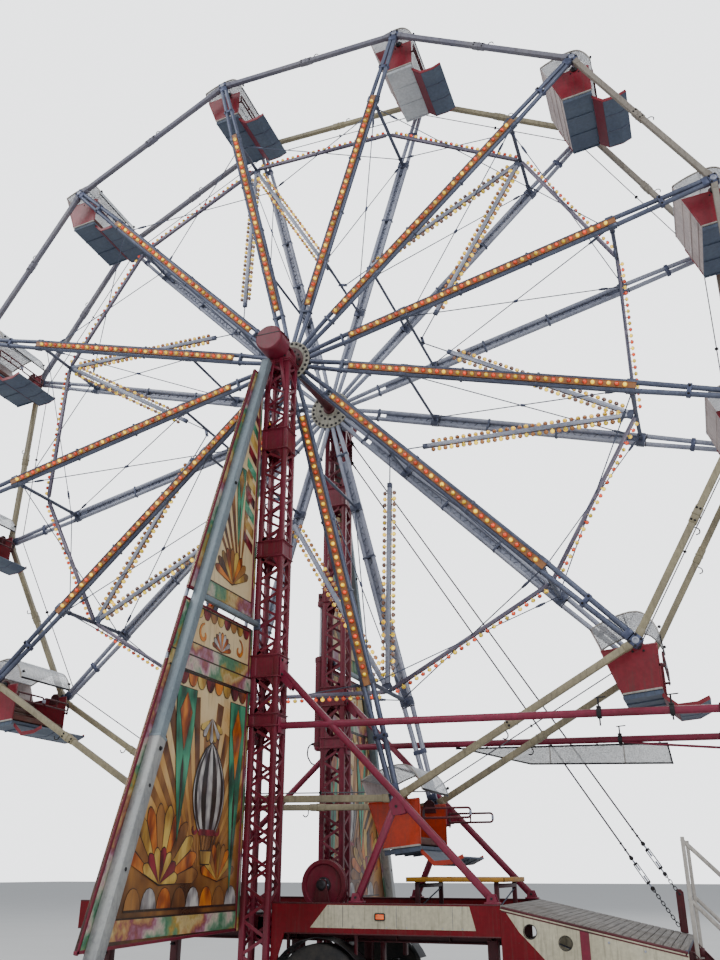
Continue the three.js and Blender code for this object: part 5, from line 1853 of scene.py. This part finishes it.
def front_frame():
    y = -MAST_Y
    yield tube((FRAME_X + 0.012, y, boom_at(FRAME_X)), (BOOM_TIP - 0.004, y, BOOM_END), 0.076, BOOM_RED, 24)
    yield block((FRAME_X, y - 0.085, boom_at(0.14) - 0.085),
        (FRAME_X + 0.014, y + 0.085, boom_at(0.14) + 0.085), BOOM_RED, 0.004)
    yield turned([(0.047, 0), (0.051, 0.002), (0.051, 0.03), (0.047, 0.032)],
        (BOOM_TIP - 0.04, y, BOOM_END), AHEAD, DEEP_RED, 24)
    top, foot = Vector((FRAME_X + 0.008, y, 3.64)), Vector((2.428, y, 1.35))
    yield beam(top, foot, 0.068, 0.068, UP, BOOM_RED, 0.01)
    yield rail(FRAME_X, FRAME_X + 0.022, y, 0.1, 3.57, 3.79, BOOM_RED, 0.004)
    heads = [(FRAME_X + 0.022, y + out, z) for out in (-0.075, 0.075) for z in (3.6, 3.76)]
    yield from bolts(heads, AHEAD, 0.026)
    yield strut((1.072, 1.345), (1.5, 2.262), y, 0.066, 0.066, AHEAD, BOOM_RED, 0.01)
    for face in (-1, 1):
        web = y + face * 0.036
        gusset = [(0.16, 3.7), (0.16, 3.56), (0.3, 3.42), (0.33, 3.47)]
        yield flat_xz(gusset, web - 0.004, web + 0.004, BOOM_RED, 0.001)
        knee = [(1.42, 2.22), (1.46, 2.12), (1.53, 2.12), (1.6, 2.14), (1.57, 2.21), (1.48, 2.3)]
        yield flat_xz(knee, web - 0.003, web + 0.003, BOOM_RED, 0.001)
        yield turned([(0.01, 0), (0.014, 0.002), (0.014, 0.008)], (1.5, y + face * 0.039, 2.2),
            (0, face, 0), STEEL_DARK, 12)
    for x0, x1 in ((2.35, 2.49), (1, 1.14)):
        yield rail(x0, x1, y, 0.06, 1.3203, 1.34, BOOM_RED)
        middle = (x0 + x1) / 2
        lug = [(middle - 0.055, 1.335), (middle + 0.055, 1.335), (middle + 0.025, 1.41),
            (middle - 0.035, 1.41)]
        for web in (y - 0.041, y + 0.041):
            yield flat_xz(lug, web - 0.004, web + 0.004, BOOM_RED, 0.001)
        yield tube((middle, y - 0.055, 1.372), (middle, y + 0.055, 1.372), 0.022, STEEL_DARK)
    yield tube((4.7, y, 0.12), (4.7, y, boom_at(4.7) - 0.03), 0.078, BOOM_RED, 20)
    yield collar(0.042, 0.048, 0.06, (4.7, y, 1.5), UP, DEEP_RED, 20, 0.005)
    yield collar(0.049, 0.055, 0.05, (4.7, y, boom_at(4.7)), AHEAD, DEEP_RED, 20, 0.005)
    yield rail(4.58, 4.82, y, 0.12, 0, 0.018, DEEP_RED)
    yield rail(4.654, 4.746, y, 0.046, 0.018, 0.13, DEEP_RED, 0.006, 2)
    yield from bolts([(4.7 + a, y + b, 0.018) for a in (-0.09, 0.09) for b in (-0.09, 0.09)], UP, 0.024)


def boom_fittings():
    """Clamps on both booms, and the thin stay under the far one."""
    yield from clamp(3.564, -MAST_Y, 0.12)
    yield from clamp(4.236, -MAST_Y, 0.09)
    yield from clamp(3.57, MAST_Y, 0.075)
    yield tube((3.6, MAST_Y, boom_at(3.6) - 0.035), (4.66, MAST_Y, 2.865), 0.028, BOOM_RED)
    yield rail(4.635, 4.765, MAST_Y, 0.05, 2.835, 2.895, DEEP_RED, 0.004)


both_sides(front_frame(), "red_paint", "_boom_and_braces", "_front_frame")
place(joined("boom_clamps_and_stay", boom_fittings()), "structure", "red_paint")


# Loading stage, drive disc, back stays and the screen under the far boom

def loading_stage():
    top = 1.55
    pitch = 1.04 / 9
    for k in range(9):
        y = -0.52 + pitch * k
        yield block((1.434, y + 0.003, top - 0.02), (2.426, y + pitch - 0.003, top), TIMBER)
    for y in (-0.52, 0.508):
        yield block((1.42, y, top - 0.044), (2.44, y + 0.012, top + 0.001), YELLOW)
    for x in (1.42, 2.428):
        yield rail(x, x + 0.012, 0, 0.52, top - 0.044, top + 0.001, YELLOW)
    yield rail(1.432, 2.428, 0, 0.508, top - 0.043, top - 0.022, SLATE, 0.002)
    for x in (1.52, 2.34):
        for y in (-0.44, 0.44):
            yield post(x, y, 0.022, 0.022, DECK_TOP + 0.01, top - 0.044, DEEP_RED, 0.004, 2)
            yield post(x, y, 0.045, 0.045, DECK_TOP + 0.0006, DECK_TOP + 0.01, DEEP_RED, 0.002)
        yield post(x, 0, 0.022, 0.44, 1.452, 1.492, DEEP_RED)
        yield tube((x, -0.43, 1.26), (x, 0.43, 1.44), 0.014, GALV_DARK, 8)


place(joined("loading_stage_boards", loading_stage()), "structure", "yellow_paint", "loading_stage")


def drive_disc():
    spot, out = (DISC_X, -0.665, DISC_Z), (0, -1, 0)
    rim = [(0.195, -0.04), (0.238, -0.042), (0.245, -0.036), (0.245, -0.02), (0.232, -0.014),
        (0.232, 0.014), (0.245, 0.02), (0.245, 0.036), (0.24, 0.042), (0.205, 0.042), (0.198, 0.034),
        (0.192, 0.016), (0.11, 0.01), (0.078, 0.016)]
    yield turned(rim, spot, out, MAST_RED, 48)
    boss = [(0.075, 0.005), (0.075, 0.048), (0.068, 0.052), (0.04, 0.052), (0.036, 0.046)]
    yield turned(boss, spot, out, STEEL_DARK, 24)
    yield turned([(0.075, -0.05), (0.075, -0.03), (0.12, -0.03)], spot, out, DEEP_RED, 24)
    yield tube((DISC_X, -0.76, DISC_Z), (DISC_X, -0.57, DISC_Z), 0.0435, GALV, 20)
    yield from bolts(circle(DISC_X, -0.717, DISC_Z, 0.056, 6), out, 0.014, GALV)
    yield block((0.582, -0.765, 1.484), (0.588, -0.735, 1.5), STEEL_DARK, 0.001)


place(joined("drive_disc_turned", drive_disc()), "drive_disc", "red_paint", "drive_wheel")


def chain(start, end, count):
    """Short link chain along a line."""
    start, end = Vector(start), Vector(end)
    along = (end - start).normalized()
    pitch = (end - start).length / count
    for k in range(count):
        centre = start + along * pitch * (k + 0.5)
        side = Vector(ACROSS) if k % 2 else along.cross(Vector(ACROSS))
        half, wide = along * (pitch * 0.62), side * 0.014
        link = [centre - half - wide, centre + half - wide, centre + half + wide, centre - half + wide]
        yield bent(link, 0.01, STEEL_DARK, 0.012, True, 1)


def stay_fitting(spot, along):
    """Turnbuckle with two side bars, eye ends and a shackle."""
    along = Vector(along).normalized()
    side = along.cross(Vector(ACROSS)).normalized()
    spot = Vector(spot)
    for hand in (-1, 1):
        bar = spot + side * hand * 0.02
        yield beam(bar - along * 0.11, bar + along * 0.11, 0.012, 0.016, side, GALV_DARK, 0.003)
        yield collar(0.016, 0.026, 0.012, spot + along * hand * 0.11, along, STEEL_DARK, 12)
        yield tube(spot + along * hand * 0.03, spot + along * hand * 0.17, 0.018, GALV, 8)
        yield collar(0.012, 0.024, 0.012, spot + along * hand * 0.18, ACROSS, STEEL_DARK, 12)


def back_stays():
    y = MAST_Y + 0.062
    yield rail(FRAME_X, FRAME_X + 0.03, y, 0.011, 7.06, 7.46, DEEP_RED)
    for height, end, grip in ((7.408, (4, 1.376), 0.42), (7.088, (3.96, 1.06), 0.62)):
        top, end = Vector((FRAME_X + 0.028, y, height)), Vector((end[0], y, end[1]))
        along = (end - top).normalized()
        grip_spot = end - along * grip
        yield tube(top + along * 0.03, grip_spot - along * 0.17, 0.02, ROPE, 10)
        yield from stay_fitting(grip_spot, along)
        yield from chain(grip_spot + along * 0.175, end - along * 0.015, round((grip - 0.19) / 0.04))
        socket = [(0.01, 0), (0.013, 0.005), (0.013, 0.09), (0.009, 0.1)]
        yield turned(socket, top + along * 0.02, along, STEEL_DARK, 10)
        for reach in (0.2, 0.28, 0.36):
            yield collar(0.01, 0.016, 0.008, grip_spot - along * reach, along, STEEL_DARK, 8)
        yield collar(0.01, 0.022, 0.016, (top.x + 0.004, y, top.z + 0.004), ACROSS, STEEL_DARK, 12)
    ground = ramp_top(3.96) + 0.0003
    post = [(3.96, ground), (4.04, ground - 0.016), (4.04, 1.4), (4.015, 1.43), (3.985, 1.43), (3.96, 1.4)]
    yield flat_xz(post, y - 0.011, y + 0.011, DEEP_RED, 0.002)
    yield collar(0.008, 0.014, 0.017, (3.998, y, 1.383), ACROSS, STEEL_DARK, 12)


place(joined("back_stay_ropes", back_stays()), "structure", "cable", "back_stays")


def screen_top(x):
    return 2.9898 - (x - 1.61) * 0.01613


def boom_screen():
    y = MAST_Y
    corners = [(2.515, 2.76), (4.12, 2.712), (4.09, 2.9498), (1.61, 2.9898)]
    yield flat_xz(corners, y - 0.0015, y + 0.0015, SCREEN)
    middle = Vector((3.1, 2.86))
    for a, b, inward in edges(corners, middle):
        a, b = a + inward * 0.009, b + inward * 0.009
        yield strut(a, b, y, 0.018, 0.024, (inward.x, 0, inward.y), STEEL_DARK)
    for x in (2.75, 3.596):
        low = 2.76 - (x - 2.515) * 0.0299
        yield strut((x, low + 0.01), (x, screen_top(x) - 0.01), y, 0.012, 0.014, AHEAD, WHITE_STRIP)
    for x in (2, 2.75, 3.3, 4):
        yield post(x, y, 0.012, 0.01, screen_top(x) - 0.004, boom_at(x) - 0.04, STEEL_DARK, 0.002)


place(joined("screen_panel", boom_screen()), "structure", "screen", "boom_screen")


# Floor, light and camera

def studio():
    clear()
    bpy.ops.mesh.primitive_plane_add(size=220, location=(0, 30, -0.002))
    floor = bpy.context.object
    floor.name = "floor"
    material, spot = bare_material("pale floor")
    shader = material.node_tree.nodes["Principled BSDF"].inputs
    feed(shader["Base Color"], mixed(noise(spot, 0.6), tone("d9d9d6"), tone("e2e2e0")))
    feed(shader["Roughness"], 0.9)
    floor.data.materials.append(material)
    world = bpy.data.worlds.new("studio")
    bpy.context.scene.world = world
    world.use_nodes = True
    tree = world.node_tree
    sky = tree.nodes["Background"]
    sky.inputs["Color"].default_value = tone("e9eef6")
    sky.inputs["Strength"].default_value = 0.62
    bright = tree.nodes.new("ShaderNodeBackground")
    bright.inputs["Color"].default_value = tone("f7f9fc")
    bright.inputs["Strength"].default_value = 3.0
    both = node("MixShader", {0: source(tree, "LightPath", "Is Camera Ray"), 1: sky.outputs[0],
        2: bright.outputs[0]})
    feed(tree.nodes["World Output"].inputs[0], both.outputs[0])
    for spot, aim, size, power in (((-14, -16, 22), (0, 0, 6), 16, 3200),
            ((18, -18, 16), (0, 0, 5), 14, 2600), ((4, 22, 24), (0, 0, 8), 18, 2600)):
        bpy.ops.object.light_add(type="AREA", location=spot)
        light = bpy.context.object
        light.data.size = size
        light.data.energy = power
        light.rotation_euler = (Vector(aim) - Vector(spot)).to_track_quat("-Z", "Y").to_euler()


def camera():
    yaw, pitch = radians(20.43), radians(23.68)
    look = Vector((-sin(yaw) * cos(pitch), cos(yaw) * cos(pitch), sin(pitch)))
    bpy.ops.object.camera_add(location=(4.473, -10.054, 1.6),
        rotation=look.to_track_quat("-Z", "Y").to_euler())
    made = bpy.context.object
    made.data.sensor_width = 36
    made.data.lens = 33.51
    made.data.clip_end = 500
    bpy.context.scene.camera = made


studio()
camera()
